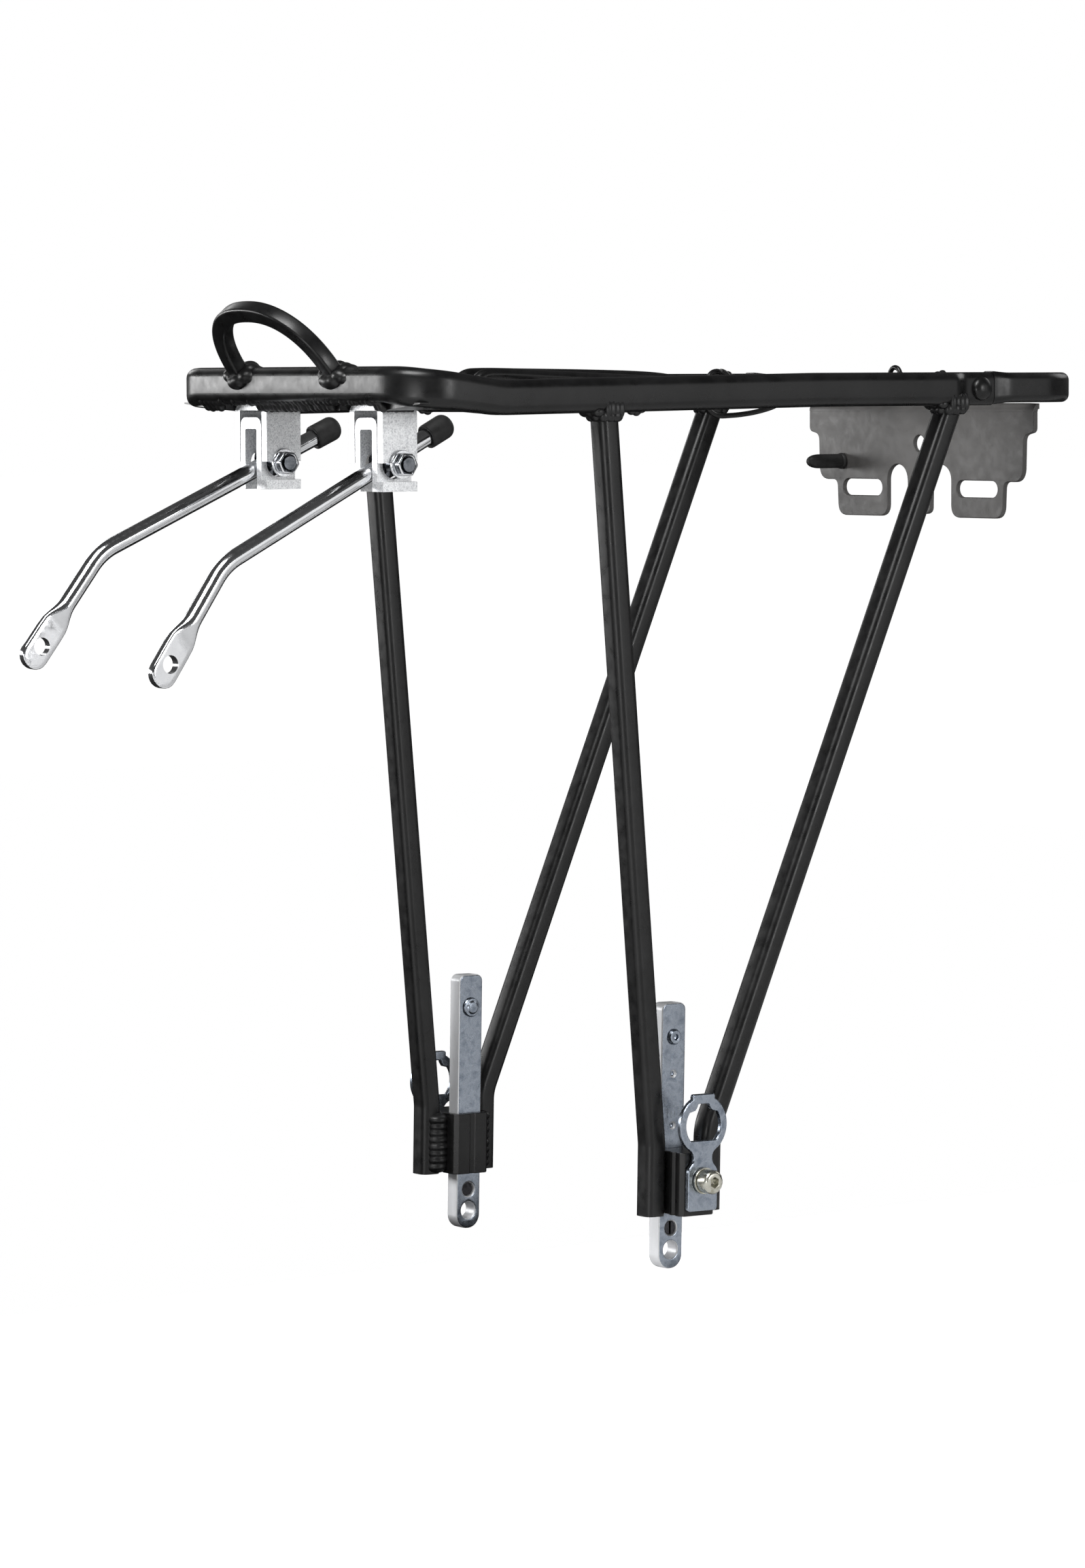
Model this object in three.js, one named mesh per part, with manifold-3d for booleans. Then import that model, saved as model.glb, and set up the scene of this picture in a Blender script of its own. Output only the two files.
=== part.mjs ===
// Rear luggage carrier for a bicycle: a bent tube platform on four legs, sliding foot bars,
// two adjustable front stays, a spring flap and a light plate.
// Millimetres. +X points to the back of the bicycle, +Y to its right, +Z up.
// The pieces are laid out from a point on the platform's centre line, at the height of the rails.
// At the end the whole carrier is shifted so that the origin is midway between the two holes
// that fix the foot bars to the bicycle.

import * as THREE from "three";
import { mergeVertices } from "three/addons/utils/BufferGeometryUtils.js";
import Module from "manifold-3d";

const wasm = await Module();
wasm.setup();

// ---------- driving dimensions ----------
const GAP = 0.3; // clearance between neighbouring pieces
const LEFT = -1;
const RIGHT = 1;
const SIDES = [
  [LEFT, "left"],
  [RIGHT, "right"],
];

const RAIL_Y = 68; // rail centre line from the middle of the platform
const TUBE = 12; // platform tube, across the flats
const TUBE_CORNER = 3.4;
const FRONT_X = -80.3; // centre line of the front crossbar
const FRONT_Z = 3; // the crossbar stands a little above the rails
const DIP_X = -46; // lowest point of the rails
const DIP_Z = -1.75;
const LEVEL_X = 96; // the rails are level behind this point
const RAIL_Z = 0.15;
const RAIL_END_X = 176.5;
const FRONT_BEND = 14;

const SQUASH_START_X = 156.5; // rail ends are pressed flat behind this point
const SQUASH_END_X = 161.5;
const SQUASH_THICK = 7;
const TONGUE = { start: 163.5, thick: 3, tall: 8.4 };
const RIVET_X = 170.4;
const RIVET_HEAD_R = 4.3;
const RIVET_SHANK_R = 2;

const LOOP_X = 220.9; // centre line of the rear loop's cross run
const LOOP_TUBE = { wide: 10.6, tall: 10.9, corner: 2.8 };
const LOOP_Z = 0.5;
const LOOP_BEND = 20.7;
const LOOP_FLARE_X = 184;

const HOOP = { half: 28.2, rise: 27.6, power: 2.3, thick: 6, deep: 5.6, lean: 38, x: -84.6, z: 6.1 };

const PLATE = { front: -80, rear: -58, half: 71, flatHalf: 50, top: -3.25, bottom: -5.9, edge: -3.7 };

const FRONT_TIE = { x: 19, z: -2.6, r: 4.75 };
const REAR_TIE = { x: 160, z: 0.6, r: 5.2 };
const HINGE = { x: 95, z: 2, r: 2.2 };
const TIE_HALF = RAIL_Y - TUBE / 2 - GAP;

const FLAP_WIRE_R = 2.35;
const FLAP_ARM_Y = 5.3;
const FLAP_SLEEVE = { r: 3.7, bore: 2.55, half: 9 };
const SPRING = { y: -12.6, coil: 4.9, wire: 0.95, pitch: 2.3, turns: 1.5 };

const LEG = { wide: 8.3, corner: 2.6 };
const FRONT_LEG = { topX: -0.4, footX: 21, topZ: 0, underRail: -7.5, kneeZ: -262 };
const REAR_LEG = { topX: 160.4, footX: 46, topZ: 0, underRail: -6.2, kneeZ: -258.5 };
const LEG_FOOT_Y = 66.6;
const LEG_END_Z = -287.6;

// the foot assembly leans back by a degree and a half; its own origin is the block's centre
const FOOT = { x: 33, z: -276, lean: 1.4 };
const BLOCK = { wide: 15.4, inner: 54.6, outer: 78, tall: 22.2, corner: 1.5, grooveDeep: 0.9 };
const BAR = { y: 59.75, wide: 10.5, thick: 6, top: 62.2, bottom: -31.6, chamfer: 0.7 };
const BAR_EYE_Z = -24.9;
const BAR_SCREW_Z = -17.2;
const BAR_STOP_Z = 50.2;
const BAR_EYE_R = 3.1;
const BAR_SCREW_R = 2.6;

const RING = { thick: 2, outer: 10.4, inner: 7.7, z: 20.9, plateHalf: 6.5, neckHalf: 4.1 };
const RING_SCREW_Z = 1.5;
const RING_SCREW = { head: 4.25, headLong: 5, shank: 2.5, socket: 2, washer: 4.7, washerThick: 1 };

const LIGHT = { x: 203, thick: 2, half: 63.9, bend: 2.6, top: -5.4, flangeRear: 225.5, flangeHalf: 37 };
const LIGHT_SLOT = { y: 32.5, z: -37.1, half: 11.3, r: 3.1 };
const LIGHT_HOLE = { z: -20.4, r: 3.1 };
const PEG = { y: 44, z: -27.3, r: 2.7, tipX: 185.6 };

const CHANNEL = { y: 34.7, front: -76.4, rear: -62 };
const OUTER_CHANNEL = { half: 9.8, wall: 3, top: -3.4, roof: 2.6, bottom: -23.8, corner: 4 };
const INNER_CHANNEL = { half: 6.3, wall: 2.8, top: -8.4, roof: 4, bottom: -33.5, corner: 3, lip: 3.5 };
const PIVOT = { x: -69.2, z: -24.3 };
const EYE = { outer: 5.2, bore: 3.3, half: 2, shank: 2.5, end: 14.6 };
const STAY_WASHER = { r: 5, at: 10.1, thick: 1 };
const STAY_NUT = { r: 4.4, at: 11.4, thick: 2.6 };

const ROD_R = 3;
const ROD = { rear: 28.5, bend: -75, bendAngle: 28.5, bendRadius: 22, toHole: 39.7, toTip: 48.2 };
const ROD_EYE = { half: 5.2, thick: 3.2, hole: 3.1, taper: 15 };
const STAY_TILT = { left: 25.8, right: 23.7 };
const STAY_SPLAY = 2;
const CAP = { r: 4.4, round: 3, front: 20.6, end: 31.6, bore: 3.3 };

const STAPLE = { y: -36, half: 2.8, wire: 0.9, rise: 8.9 };

// ---------- finishes ----------
const finish = (color, roughness, metalness) => ({ color, roughness, metalness });
const POWDER_COAT = finish(0x141416, 0.45, 0.2);
const LIGHT_PLATE_COAT = finish(0x2c2c2e, 0.55, 0.3);
const BRIGHT_ZINC = finish(0xaab0b6, 0.35, 1);
const POLISHED = finish(0xd8dadc, 0.12, 1);
const YELLOW_ZINC = finish(0xb9a66a, 0.35, 1);
const BLASTED = finish(0xc9cbcd, 0.5, 0.9);
const RUBBER = finish(0x101010, 0.8, 0);

// ---------- solids ----------
const radians = THREE.MathUtils.degToRad;
const vec = (x, y, z) => new THREE.Vector3(x, y, z);

function solid(geometry) {
  const bare = geometry.clone();
  bare.deleteAttribute("normal");
  bare.deleteAttribute("uv");
  const merged = mergeVertices(bare, 1e-4);
  const vertProperties = new Float32Array(merged.attributes.position.array);
  const triVerts = new Uint32Array(merged.index.array);
  return new wasm.Manifold(new wasm.Mesh({ numProp: 3, vertProperties, triVerts }));
}

function geometryOf(manifold) {
  const mesh = manifold.getMesh();
  const geometry = new THREE.BufferGeometry();
  geometry.setAttribute("position", new THREE.BufferAttribute(mesh.vertProperties, 3));
  geometry.setIndex(new THREE.BufferAttribute(mesh.triVerts, 1));
  geometry.computeVertexNormals();
  return geometry;
}

function cut(geometry, ...tools) {
  return geometryOf(tools.reduce((left, tool) => left.subtract(solid(tool)), solid(geometry)));
}

function join(...geometries) {
  const [first, ...rest] = geometries.map(solid);
  return geometryOf(rest.reduce((sum, next) => sum.add(next), first));
}

const placed = (geometry, x, y, z) => geometry.translate(x, y, z);
const box = (x, y, z, cx, cy, cz) => placed(new THREE.BoxGeometry(x, y, z), cx, cy, cz);

// a cylinder whose axis lies along Y, between two values of y
function barrelY(radius, from, to, x, z, sides = 20) {
  const geometry = new THREE.CylinderGeometry(radius, radius, Math.abs(to - from), sides);
  return placed(geometry, x, (from + to) / 2, z);
}

function roundedRect(width, height, radius) {
  const shape = new THREE.Shape();
  const w = width / 2 - radius;
  const h = height / 2 - radius;
  shape.absarc(w, h, radius, 0, Math.PI / 2);
  shape.absarc(-w, h, radius, Math.PI / 2, Math.PI);
  shape.absarc(-w, -h, radius, Math.PI, 1.5 * Math.PI);
  shape.absarc(w, -h, radius, 1.5 * Math.PI, 2 * Math.PI);
  return shape;
}

function circleShape(radius, x = 0, y = 0) {
  return new THREE.Shape().absarc(x, y, radius, 0, 2 * Math.PI);
}

function polygon(points) {
  return new THREE.Shape(points.map(([x, y]) => new THREE.Vector2(x, y)));
}

// ---------- tubes along a route ----------
// A path through stations, whose sections keep one edge square to a reference direction.
class Route extends THREE.Curve {
  constructor(stations, reference) {
    super();
    this.stations = stations;
    this.reference = reference;
  }

  getUtoTmapping(u) {
    return u;
  }

  getPoint(t) {
    const last = this.stations.length - 1;
    const at = Math.min(last, Math.round(t * last));
    return this.stations[at].clone();
  }

  computeFrenetFrames() {
    const { stations, reference } = this;
    const last = stations.length - 1;
    const frames = { tangents: [], normals: [], binormals: [] };
    stations.forEach((station, i) => {
      const before = stations[Math.max(0, i - 1)];
      const after = stations[Math.min(last, i + 1)];
      const into = station.clone().sub(before).normalize();
      const out = after.clone().sub(station).normalize();
      const tangent = into.add(out).normalize();
      const normal = reference.clone().cross(tangent).normalize();
      frames.tangents.push(tangent);
      frames.normals.push(normal);
      frames.binormals.push(tangent.clone().cross(normal));
    });
    return frames;
  }
}

function sweep(section, stations, reference, curveSegments = 2) {
  const extrudePath = new Route(stations, reference);
  const steps = stations.length - 1;
  return new THREE.ExtrudeGeometry(section, { steps, extrudePath, curveSegments });
}

// a polyline whose corners are rounded: each corner is [x, y, z, radius, steps]
function rounded(corners) {
  const points = corners.map(([x, y, z]) => vec(x, y, z));
  const stations = [points[0]];
  for (let i = 1; i < points.length - 1; i += 1) {
    const [, , , radius = 0, steps = 1] = corners[i];
    stations.push(...bend(points[i - 1], points[i], points[i + 1], radius, steps));
  }
  stations.push(points.at(-1));
  return stations;
}

function bend(before, corner, after, radius, steps) {
  if (radius === 0) return [corner];
  const into = corner.clone().sub(before).normalize();
  const out = after.clone().sub(corner).normalize();
  const turn = into.angleTo(out);
  const reach = radius * Math.tan(turn / 2);
  const start = corner.clone().addScaledVector(into, -reach);
  const inward = out.clone().addScaledVector(into, -into.dot(out)).normalize();
  const stations = [];
  for (let i = 0; i <= steps; i += 1) {
    const angle = (turn * i) / steps;
    const along = radius * Math.sin(angle);
    const across = radius * (1 - Math.cos(angle));
    stations.push(start.clone().addScaledVector(into, along).addScaledVector(inward, across));
  }
  return stations;
}

// an outline in the XZ plane, thickened along Y from y - thick / 2 to y + thick / 2
function plateXZ(shape, thick, y, chamfer = 0, curveSegments = 8) {
  const bevel = { bevelThickness: chamfer, bevelSize: chamfer, bevelOffset: -chamfer, bevelSegments: 1 };
  const depth = thick - 2 * chamfer;
  const options = { depth, curveSegments, bevelEnabled: chamfer > 0, ...bevel };
  const geometry = new THREE.ExtrudeGeometry(shape, options);
  geometry.translate(0, 0, -depth / 2);
  geometry.rotateX(Math.PI / 2);
  return geometry.translate(0, y, 0);
}

// an outline in the YZ plane, thickened along X between two values of x
function plateYZ(shape, from, to, curveSegments = 6) {
  const options = { depth: to - from, curveSegments, bevelEnabled: false };
  const geometry = new THREE.ExtrudeGeometry(shape, options);
  const turned = new THREE.Matrix4().makeBasis(vec(0, 1, 0), vec(0, 0, 1), vec(1, 0, 0));
  return geometry.applyMatrix4(turned).translate(from, 0, 0);
}

// ---------- platform ----------
function railStations(side) {
  const y = side * RAIL_Y;
  const ends = [RAIL_END_X, 163.5, SQUASH_END_X, 160, 158.2, SQUASH_START_X];
  return ends.map((x) => [x, y, RAIL_Z]).concat([
    [LEVEL_X, y, RAIL_Z, 60, 1],
    [DIP_X, y, DIP_Z, 40, 3],
  ]);
}

function pressed(geometry, start, end, yFactor, zFactor, zCentre) {
  const position = geometry.attributes.position;
  for (let i = 0; i < position.count; i += 1) {
    const amount = THREE.MathUtils.smoothstep(position.getX(i), Math.min(start, end), Math.max(start, end));
    const share = start < end ? amount : 1 - amount;
    const y = position.getY(i);
    const centre = Math.sign(y) * RAIL_Y;
    position.setY(i, centre + (y - centre) * (1 + (yFactor - 1) * share));
    position.setZ(i, zCentre + (position.getZ(i) - zCentre) * (1 + (zFactor - 1) * share));
  }
  return geometry;
}

function loopTube(clearance = 0) {
  const corner = [FRONT_BEND, 6];
  const route = rounded([
    ...railStations(LEFT),
    [FRONT_X, -RAIL_Y, FRONT_Z, ...corner],
    [FRONT_X, RAIL_Y, FRONT_Z, ...corner],
    ...railStations(RIGHT).reverse(),
  ]);
  const size = TUBE + 2 * clearance;
  return sweep(roundedRect(size, size, TUBE_CORNER + clearance), route, vec(0, 0, 1));
}

function platformLoop() {
  const tube = loopTube();
  pressed(tube, SQUASH_START_X, SQUASH_END_X, SQUASH_THICK / TUBE, 1, RAIL_Z);
  return cut(tube, ...SIDES.flatMap(([side]) => [tonguePocket(side), rivetBore(side)]));
}

function tonguePocket(side) {
  const long = 20;
  const centre = TONGUE.start - GAP + long / 2;
  return box(long, TONGUE.thick + 2 * GAP, TONGUE.tall + 2 * GAP, centre, side * RAIL_Y, RAIL_Z);
}

function rivetBore(side) {
  return barrelY(RIVET_SHANK_R + GAP, side * (RAIL_Y - 9), side * (RAIL_Y + 9), RIVET_X, RAIL_Z, 16);
}

function rearLoop() {
  const start = RAIL_END_X + GAP;
  const ends = [start, 178.4, 180.6, 182.6, LOOP_FLARE_X];
  const left = ends.map((x) => [x, -RAIL_Y, LOOP_Z]);
  const right = ends.map((x) => [x, RAIL_Y, LOOP_Z]).reverse();
  const corner = [LOOP_BEND, 6];
  const corners = [[LOOP_X, -RAIL_Y, LOOP_Z, ...corner], [LOOP_X, RAIL_Y, LOOP_Z, ...corner]];
  const route = rounded([...left, ...corners, ...right]);
  const section = roundedRect(LOOP_TUBE.wide, LOOP_TUBE.tall, LOOP_TUBE.corner);
  const tube = sweep(section, route, vec(0, 0, 1), 3);
  pressed(tube, LOOP_FLARE_X, start, SQUASH_THICK / LOOP_TUBE.wide, TUBE / LOOP_TUBE.tall, LOOP_Z);
  const tongues = SIDES.map(([side]) => tongue(side));
  return cut(join(tube, ...tongues), rivetBore(LEFT), rivetBore(RIGHT));
}

function tongue(side) {
  const long = RAIL_END_X + 4 - TONGUE.start;
  return box(long, TONGUE.thick, TONGUE.tall, TONGUE.start + long / 2, side * RAIL_Y, RAIL_Z);
}

// a domed rivet through the flattened rail end and the loop's tongue
function railRivet() {
  const seat = SQUASH_THICK / 2 + GAP;
  const dome = 2.3;
  const rise = (amount) => [RIVET_HEAD_R * Math.cos(amount), seat + 0.3 + dome * Math.sin(amount)];
  const half = [0, 0.33, 0.67].map((share) => rise((share * Math.PI) / 2));
  const upper = [[RIVET_SHANK_R, seat], [RIVET_HEAD_R, seat], ...half, [0, seat + 0.3 + dome]];
  const lower = upper.map(([r, y]) => [r, -y]).reverse();
  const outline = [...lower, ...upper].map(([r, y]) => new THREE.Vector2(r, y));
  return new THREE.LatheGeometry(outline, 18);
}

function tieTube({ x, z, r }, sides = 20) {
  return barrelY(r, -TIE_HALF, TIE_HALF, x, z, sides);
}

// ---------- front hoop ----------
function hoopPoint(turn) {
  const across = Math.cos(turn);
  const up = Math.sin(turn);
  const y = HOOP.half * Math.sign(across) * Math.abs(across) ** (2 / HOOP.power);
  const v = HOOP.rise * Math.sign(up) * Math.abs(up) ** (2 / HOOP.power);
  return [y, v];
}

function frontHoop() {
  const lean = radians(HOOP.lean);
  const steps = 20;
  const below = [HOOP.half, -3];
  const arch = Array.from({ length: steps + 1 }, (_, i) => hoopPoint((Math.PI * i) / steps));
  const centres = [below, ...arch, [-HOOP.half, -3]];
  const place = ([y, v]) => vec(HOOP.x - v * Math.sin(lean), y, HOOP.z + v * Math.cos(lean));
  const normal = vec(Math.cos(lean), 0, Math.sin(lean));
  const strip = sweep(roundedRect(HOOP.thick, HOOP.deep, 0.8), centres.map(place), normal, 1);
  return cut(strip, crossbarClearance());
}

function crossbarClearance() {
  const size = TUBE + 2 * GAP;
  const section = roundedRect(size, size, TUBE_CORNER + GAP);
  const line = [vec(FRONT_X, -50, FRONT_Z), vec(FRONT_X, 50, FRONT_Z)];
  return sweep(section, line, vec(0, 0, 1));
}

// ---------- plate under the crossbar ----------
function stayPlate() {
  const { half, flatHalf, top, bottom, edge } = PLATE;
  const outline = polygon([
    [-half, edge], [-flatHalf, bottom], [flatHalf, bottom], [half, edge], [half, top], [-half, top],
  ]);
  const strip = plateYZ(outline, PLATE.front, PLATE.rear);
  const long = CHANNEL.rear + GAP - PLATE.front + 2;
  const seats = SIDES.map(([side]) => {
    const wide = 2 * (OUTER_CHANNEL.half + GAP);
    return box(long, wide, 8, CHANNEL.rear + GAP - long / 2, side * CHANNEL.y, -5);
  });
  return cut(strip, loopTube(GAP), ...seats);
}

// ---------- spring flap ----------
function flapRoute() {
  const tip = -9.6;
  const arm = (side, points) => points.map(([x, z]) => vec(x, side * FLAP_ARM_Y, z));
  const bow = [[HINGE.x, 2.2], [86, 3.8], [75, 4.7], [52, 5.4], [20, 5.9], [0, 6.1], [-5.4, 5.2], [tip, 0.6]];
  const bowed = arm(RIGHT, bow);
  const straight = arm(LEFT, [[tip, 0.6], [-5.4, 5.2], [0, 6], [20, 5.3], [52, 3.9], [HINGE.x, 2.2]]);
  const turn = [0.25, 0.5, 0.75].map((share) => {
    const angle = share * Math.PI;
    return vec(tip - 0.6, FLAP_ARM_Y * Math.cos(angle), 0.6 - 3.4 * Math.sin(angle));
  });
  return new THREE.CatmullRomCurve3([...bowed, ...turn, ...straight], false, "centripetal");
}

function springFlap() {
  const steps = 56;
  const wire = new THREE.ExtrudeGeometry(circleShape(FLAP_WIRE_R), {
    steps,
    extrudePath: flapRoute(),
    curveSegments: 4,
  });
  const { r, bore, half } = FLAP_SLEEVE;
  const sleeve = barrelY(r, -half, half, HINGE.x, HINGE.z, 20);
  return cut(join(wire, sleeve), barrelY(bore, -half - 5, half + 5, HINGE.x, HINGE.z, 16));
}

// one and a half turns round the hinge sleeve, then a leg that runs back under the platform
function flapSpring() {
  const { y, coil, pitch, turns } = SPRING;
  const stations = [];
  const steps = Math.round(turns * 14);
  for (let i = 0; i <= steps; i += 1) {
    const turn = (i / steps) * turns * 2 * Math.PI;
    const x = HINGE.x + coil * Math.sin(turn);
    const z = HINGE.z - coil * Math.cos(turn - Math.PI);
    stations.push(vec(x, y + (i / steps) * pitch * turns - pitch, z));
  }
  const legY = stations.at(-1).y;
  const ends = [[90.6, -3.4], [92.4, -7], [96, -9], [102, -9.1]];
  const leg = [...ends, [109, -8.6], [116, -7.6], [123, -5.9], [130, -3]];
  stations.push(...leg.map(([x, z]) => vec(x, legY, z)));
  return sweep(circleShape(SPRING.wire), stations, vec(0, 1, 0), 4);
}

// a small wire staple on top of the rear tie for the strap's hook
function strapStaple() {
  const { y, half, wire, rise } = STAPLE;
  const crown = rise - wire - half;
  const arch = Array.from({ length: 9 }, (_, i) => {
    const angle = (Math.PI * i) / 8;
    return vec(REAR_TIE.x, y + half * Math.cos(angle), crown + half * Math.sin(angle));
  });
  const foot = REAR_TIE.z + 2;
  const stations = [vec(REAR_TIE.x, y + half, foot), ...arch, vec(REAR_TIE.x, y - half, foot)];
  const tie = barrelY(REAR_TIE.r + GAP, y - 8, y + 8, REAR_TIE.x, REAR_TIE.z, 40);
  return cut(sweep(circleShape(wire), stations, vec(1, 0, 0), 4), tie);
}

// ---------- legs ----------
function leg(side, { topX, footX, topZ, underRail, kneeZ }) {
  const y = side * RAIL_Y;
  const footY = side * LEG_FOOT_Y;
  const lean = Math.tan(radians(FOOT.lean));
  const end = [footX - (kneeZ - LEG_END_Z) * lean, footY, LEG_END_Z];
  const route = rounded([[topX, y, topZ], [footX, footY, kneeZ, 18, 4], end]);
  const tube = sweep(roundedRect(LEG.wide, LEG.wide, LEG.corner), route, vec(0, 1, 0));
  const above = 20;
  return cut(tube, box(60, 40, above, topX, y, underRail + above / 2));
}

// ---------- foot: a block welded between the leg ends, with a sliding bar through it ----------
// Geometry here is in the foot's own frame; y is measured from the middle of the carrier.
function blockOutline(side) {
  const w = BLOCK.wide / 2;
  const c = BLOCK.corner;
  const d = BLOCK.grooveDeep;
  const half = [
    [0.9, BLOCK.inner + 0.5], [1.3, BLOCK.inner], [w - c, BLOCK.inner], [w, BLOCK.inner + c],
    [w, 62.6], [w - d, 63.6], [w - d, 70.6], [w, 71.2], [w, 72.6],
    [w - d, 73.2], [w - d, 74], [w, 74.6], [w, BLOCK.outer - c], [w - c, BLOCK.outer],
  ];
  const other = half.map(([x, y]) => [-x, y]).reverse();
  const whole = [...half, ...other].map(([x, y]) => [x, side * y]);
  return polygon(whole);
}

function footBlock(side) {
  const body = new THREE.ExtrudeGeometry(blockOutline(side), { depth: BLOCK.tall, bevelEnabled: false });
  body.translate(0, 0, -BLOCK.tall / 2);
  const slot = box(BAR.wide + 2 * GAP, BAR.thick + 2 * GAP, BLOCK.tall + 4, 0, side * BAR.y, 0);
  const outside = side * (BLOCK.outer + 2);
  const screwHole = barrelY(RING_SCREW.shank + GAP, side * (BAR.y + 1), outside, 0, RING_SCREW_Z, 16);
  return cut(body, slot, screwHole);
}

function barOutline() {
  const w = BAR.wide / 2;
  const topRound = 2.6;
  const footRound = w - 0.3;
  const shape = new THREE.Shape();
  shape.absarc(w - topRound, BAR.top - topRound, topRound, 0, Math.PI / 2);
  shape.absarc(-w + topRound, BAR.top - topRound, topRound, Math.PI / 2, Math.PI);
  shape.absarc(-w + footRound, BAR.bottom + footRound, footRound, Math.PI, 1.5 * Math.PI);
  shape.absarc(w - footRound, BAR.bottom + footRound, footRound, 1.5 * Math.PI, 2 * Math.PI);
  return shape;
}

function footBar(side) {
  const shape = barOutline();
  const drilled = [[BAR_EYE_R, BAR_EYE_Z], [BAR_SCREW_R, BAR_SCREW_Z], [2.2, BAR_STOP_Z]];
  const plain = plateXZ(shape, BAR.thick, side * BAR.y, BAR.chamfer, 4);
  const drills = drilled.map(([r, z]) => barrelY(r, side * (BAR.y - 9), side * (BAR.y + 9), 0, z, 16));
  return cut(plain, ...drills);
}

// the stop keeps the bar from dropping out of its block: a dome inside, a hollow nipple outside
function barStop(side) {
  const face = BAR.thick / 2;
  const outline = [
    [0, -face - 1.9], [2, -face - 1.6], [2.5, -face - 1], [3.3, -face - 0.9], [3.7, -face - GAP],
    [1.9, -face - GAP], [1.9, face + GAP], [2.9, face + GAP], [2.3, face + 1.3], [1.1, face + 1.3],
    [1.1, face + 0.2], [0, face],
  ];
  const points = outline.map(([r, y]) => new THREE.Vector2(r, y));
  const stop = new THREE.LatheGeometry(points, 16);
  if (side === LEFT) stop.rotateZ(Math.PI);
  return placed(stop, 0, side * BAR.y, BAR_STOP_Z);
}

function barScrew(side) {
  const from = side * (BAR.y - 2);
  const to = side * (BAR.y + 2.4);
  const body = barrelY(BAR_SCREW_R - GAP, from, to, 0, BAR_SCREW_Z, 20);
  const slot = box(0.8, 2, 6, 0, to, BAR_SCREW_Z);
  return cut(body, slot);
}

function ringOutline() {
  const { outer, z, plateHalf, neckHalf } = RING;
  const shape = new THREE.Shape();
  const foot = -9.2;
  const shoulder = 5.2;
  const tabHalf = 4.9;
  const tabTop = z + 10.9;
  const neckZ = 9.6;
  const lower = radians(50);
  const upper = radians(62);
  shape.moveTo(-plateHalf + 1.4, foot);
  shape.lineTo(plateHalf - 1.4, foot);
  shape.quadraticCurveTo(plateHalf, foot, plateHalf, foot + 1.4);
  shape.lineTo(plateHalf, shoulder - 1);
  shape.bezierCurveTo(plateHalf, shoulder + 1.6, neckHalf, shoulder + 1.4, neckHalf, neckZ);
  shape.quadraticCurveTo(neckHalf, neckZ + 2, outer * Math.cos(lower), z - outer * Math.sin(lower));
  shape.absarc(0, z, outer, -lower, upper);
  shape.lineTo(tabHalf, tabTop - 1);
  shape.quadraticCurveTo(tabHalf, tabTop, tabHalf - 1, tabTop);
  shape.lineTo(-tabHalf + 1, tabTop);
  shape.quadraticCurveTo(-tabHalf, tabTop, -tabHalf, tabTop - 1);
  shape.absarc(0, z, outer, Math.PI - upper, Math.PI + lower);
  shape.quadraticCurveTo(-neckHalf, neckZ + 2, -neckHalf, neckZ);
  shape.bezierCurveTo(-neckHalf, shoulder + 1.4, -plateHalf, shoulder + 1.6, -plateHalf, shoulder - 1);
  shape.lineTo(-plateHalf, foot + 1.4);
  shape.quadraticCurveTo(-plateHalf, foot, -plateHalf + 1.4, foot);
  return shape;
}

// the strap's hook goes in through the round part and up into the narrow notch
function ringOpening() {
  const { inner, z } = RING;
  const notchHalf = 2.7;
  const sill = -5.4;
  const brow = 4.6;
  const top = 7.5;
  const low = Math.asin(sill / inner);
  const high = Math.asin(brow / inner);
  const hole = new THREE.Shape();
  hole.moveTo(inner * Math.cos(low), z + sill);
  hole.absarc(0, z, inner, low, high);
  hole.lineTo(notchHalf + 1, z + brow + 0.6);
  hole.lineTo(notchHalf, z + top);
  hole.lineTo(-notchHalf, z + top);
  hole.lineTo(-notchHalf - 1, z + brow + 0.6);
  hole.absarc(0, z, inner, Math.PI - high, Math.PI - low);
  return hole;
}

function strapRing(side) {
  const centre = side * (BLOCK.outer + GAP + RING.thick / 2);
  const blank = plateXZ(ringOutline(), RING.thick, centre, 0, 7);
  const opening = plateXZ(ringOpening(), RING.thick + 4, centre, 0, 7);
  const bore = barrelY(RING_SCREW.shank + GAP, centre - 4, centre + 4, 0, RING_SCREW_Z, 16);
  return cut(blank, opening, bore);
}

function ringWasher(side) {
  const from = BLOCK.outer + 2 * GAP + RING.thick;
  const y = side * (from + RING_SCREW.washerThick / 2);
  const half = RING_SCREW.washerThick / 2;
  const disc = barrelY(RING_SCREW.washer, y - half, y + half, 0, RING_SCREW_Z);
  return cut(disc, barrelY(RING_SCREW.shank + GAP, y - 3, y + 3, 0, RING_SCREW_Z, 16));
}

function ringScrew(side) {
  const seat = BLOCK.outer + 3 * GAP + RING.thick + RING_SCREW.washerThick;
  const { head, headLong, shank, socket } = RING_SCREW;
  const tip = BAR.y + BAR.thick / 2 + 0.9;
  const top = seat + headLong;
  const outline = [
    [0, tip], [shank, tip], [shank, seat], [head, seat],
    [head, top - 1.1], [head - 0.6, top - 0.3], [3, top], [0, top],
  ];
  const points = outline.map(([r, y]) => new THREE.Vector2(r, y));
  const screw = new THREE.LatheGeometry(points, 18);
  const key = placed(new THREE.CylinderGeometry(socket, socket, 6, 6), 0, top, 0);
  const drilled = cut(screw, key);
  if (side === LEFT) drilled.rotateX(Math.PI);
  return placed(drilled, 0, 0, RING_SCREW_Z);
}

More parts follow.
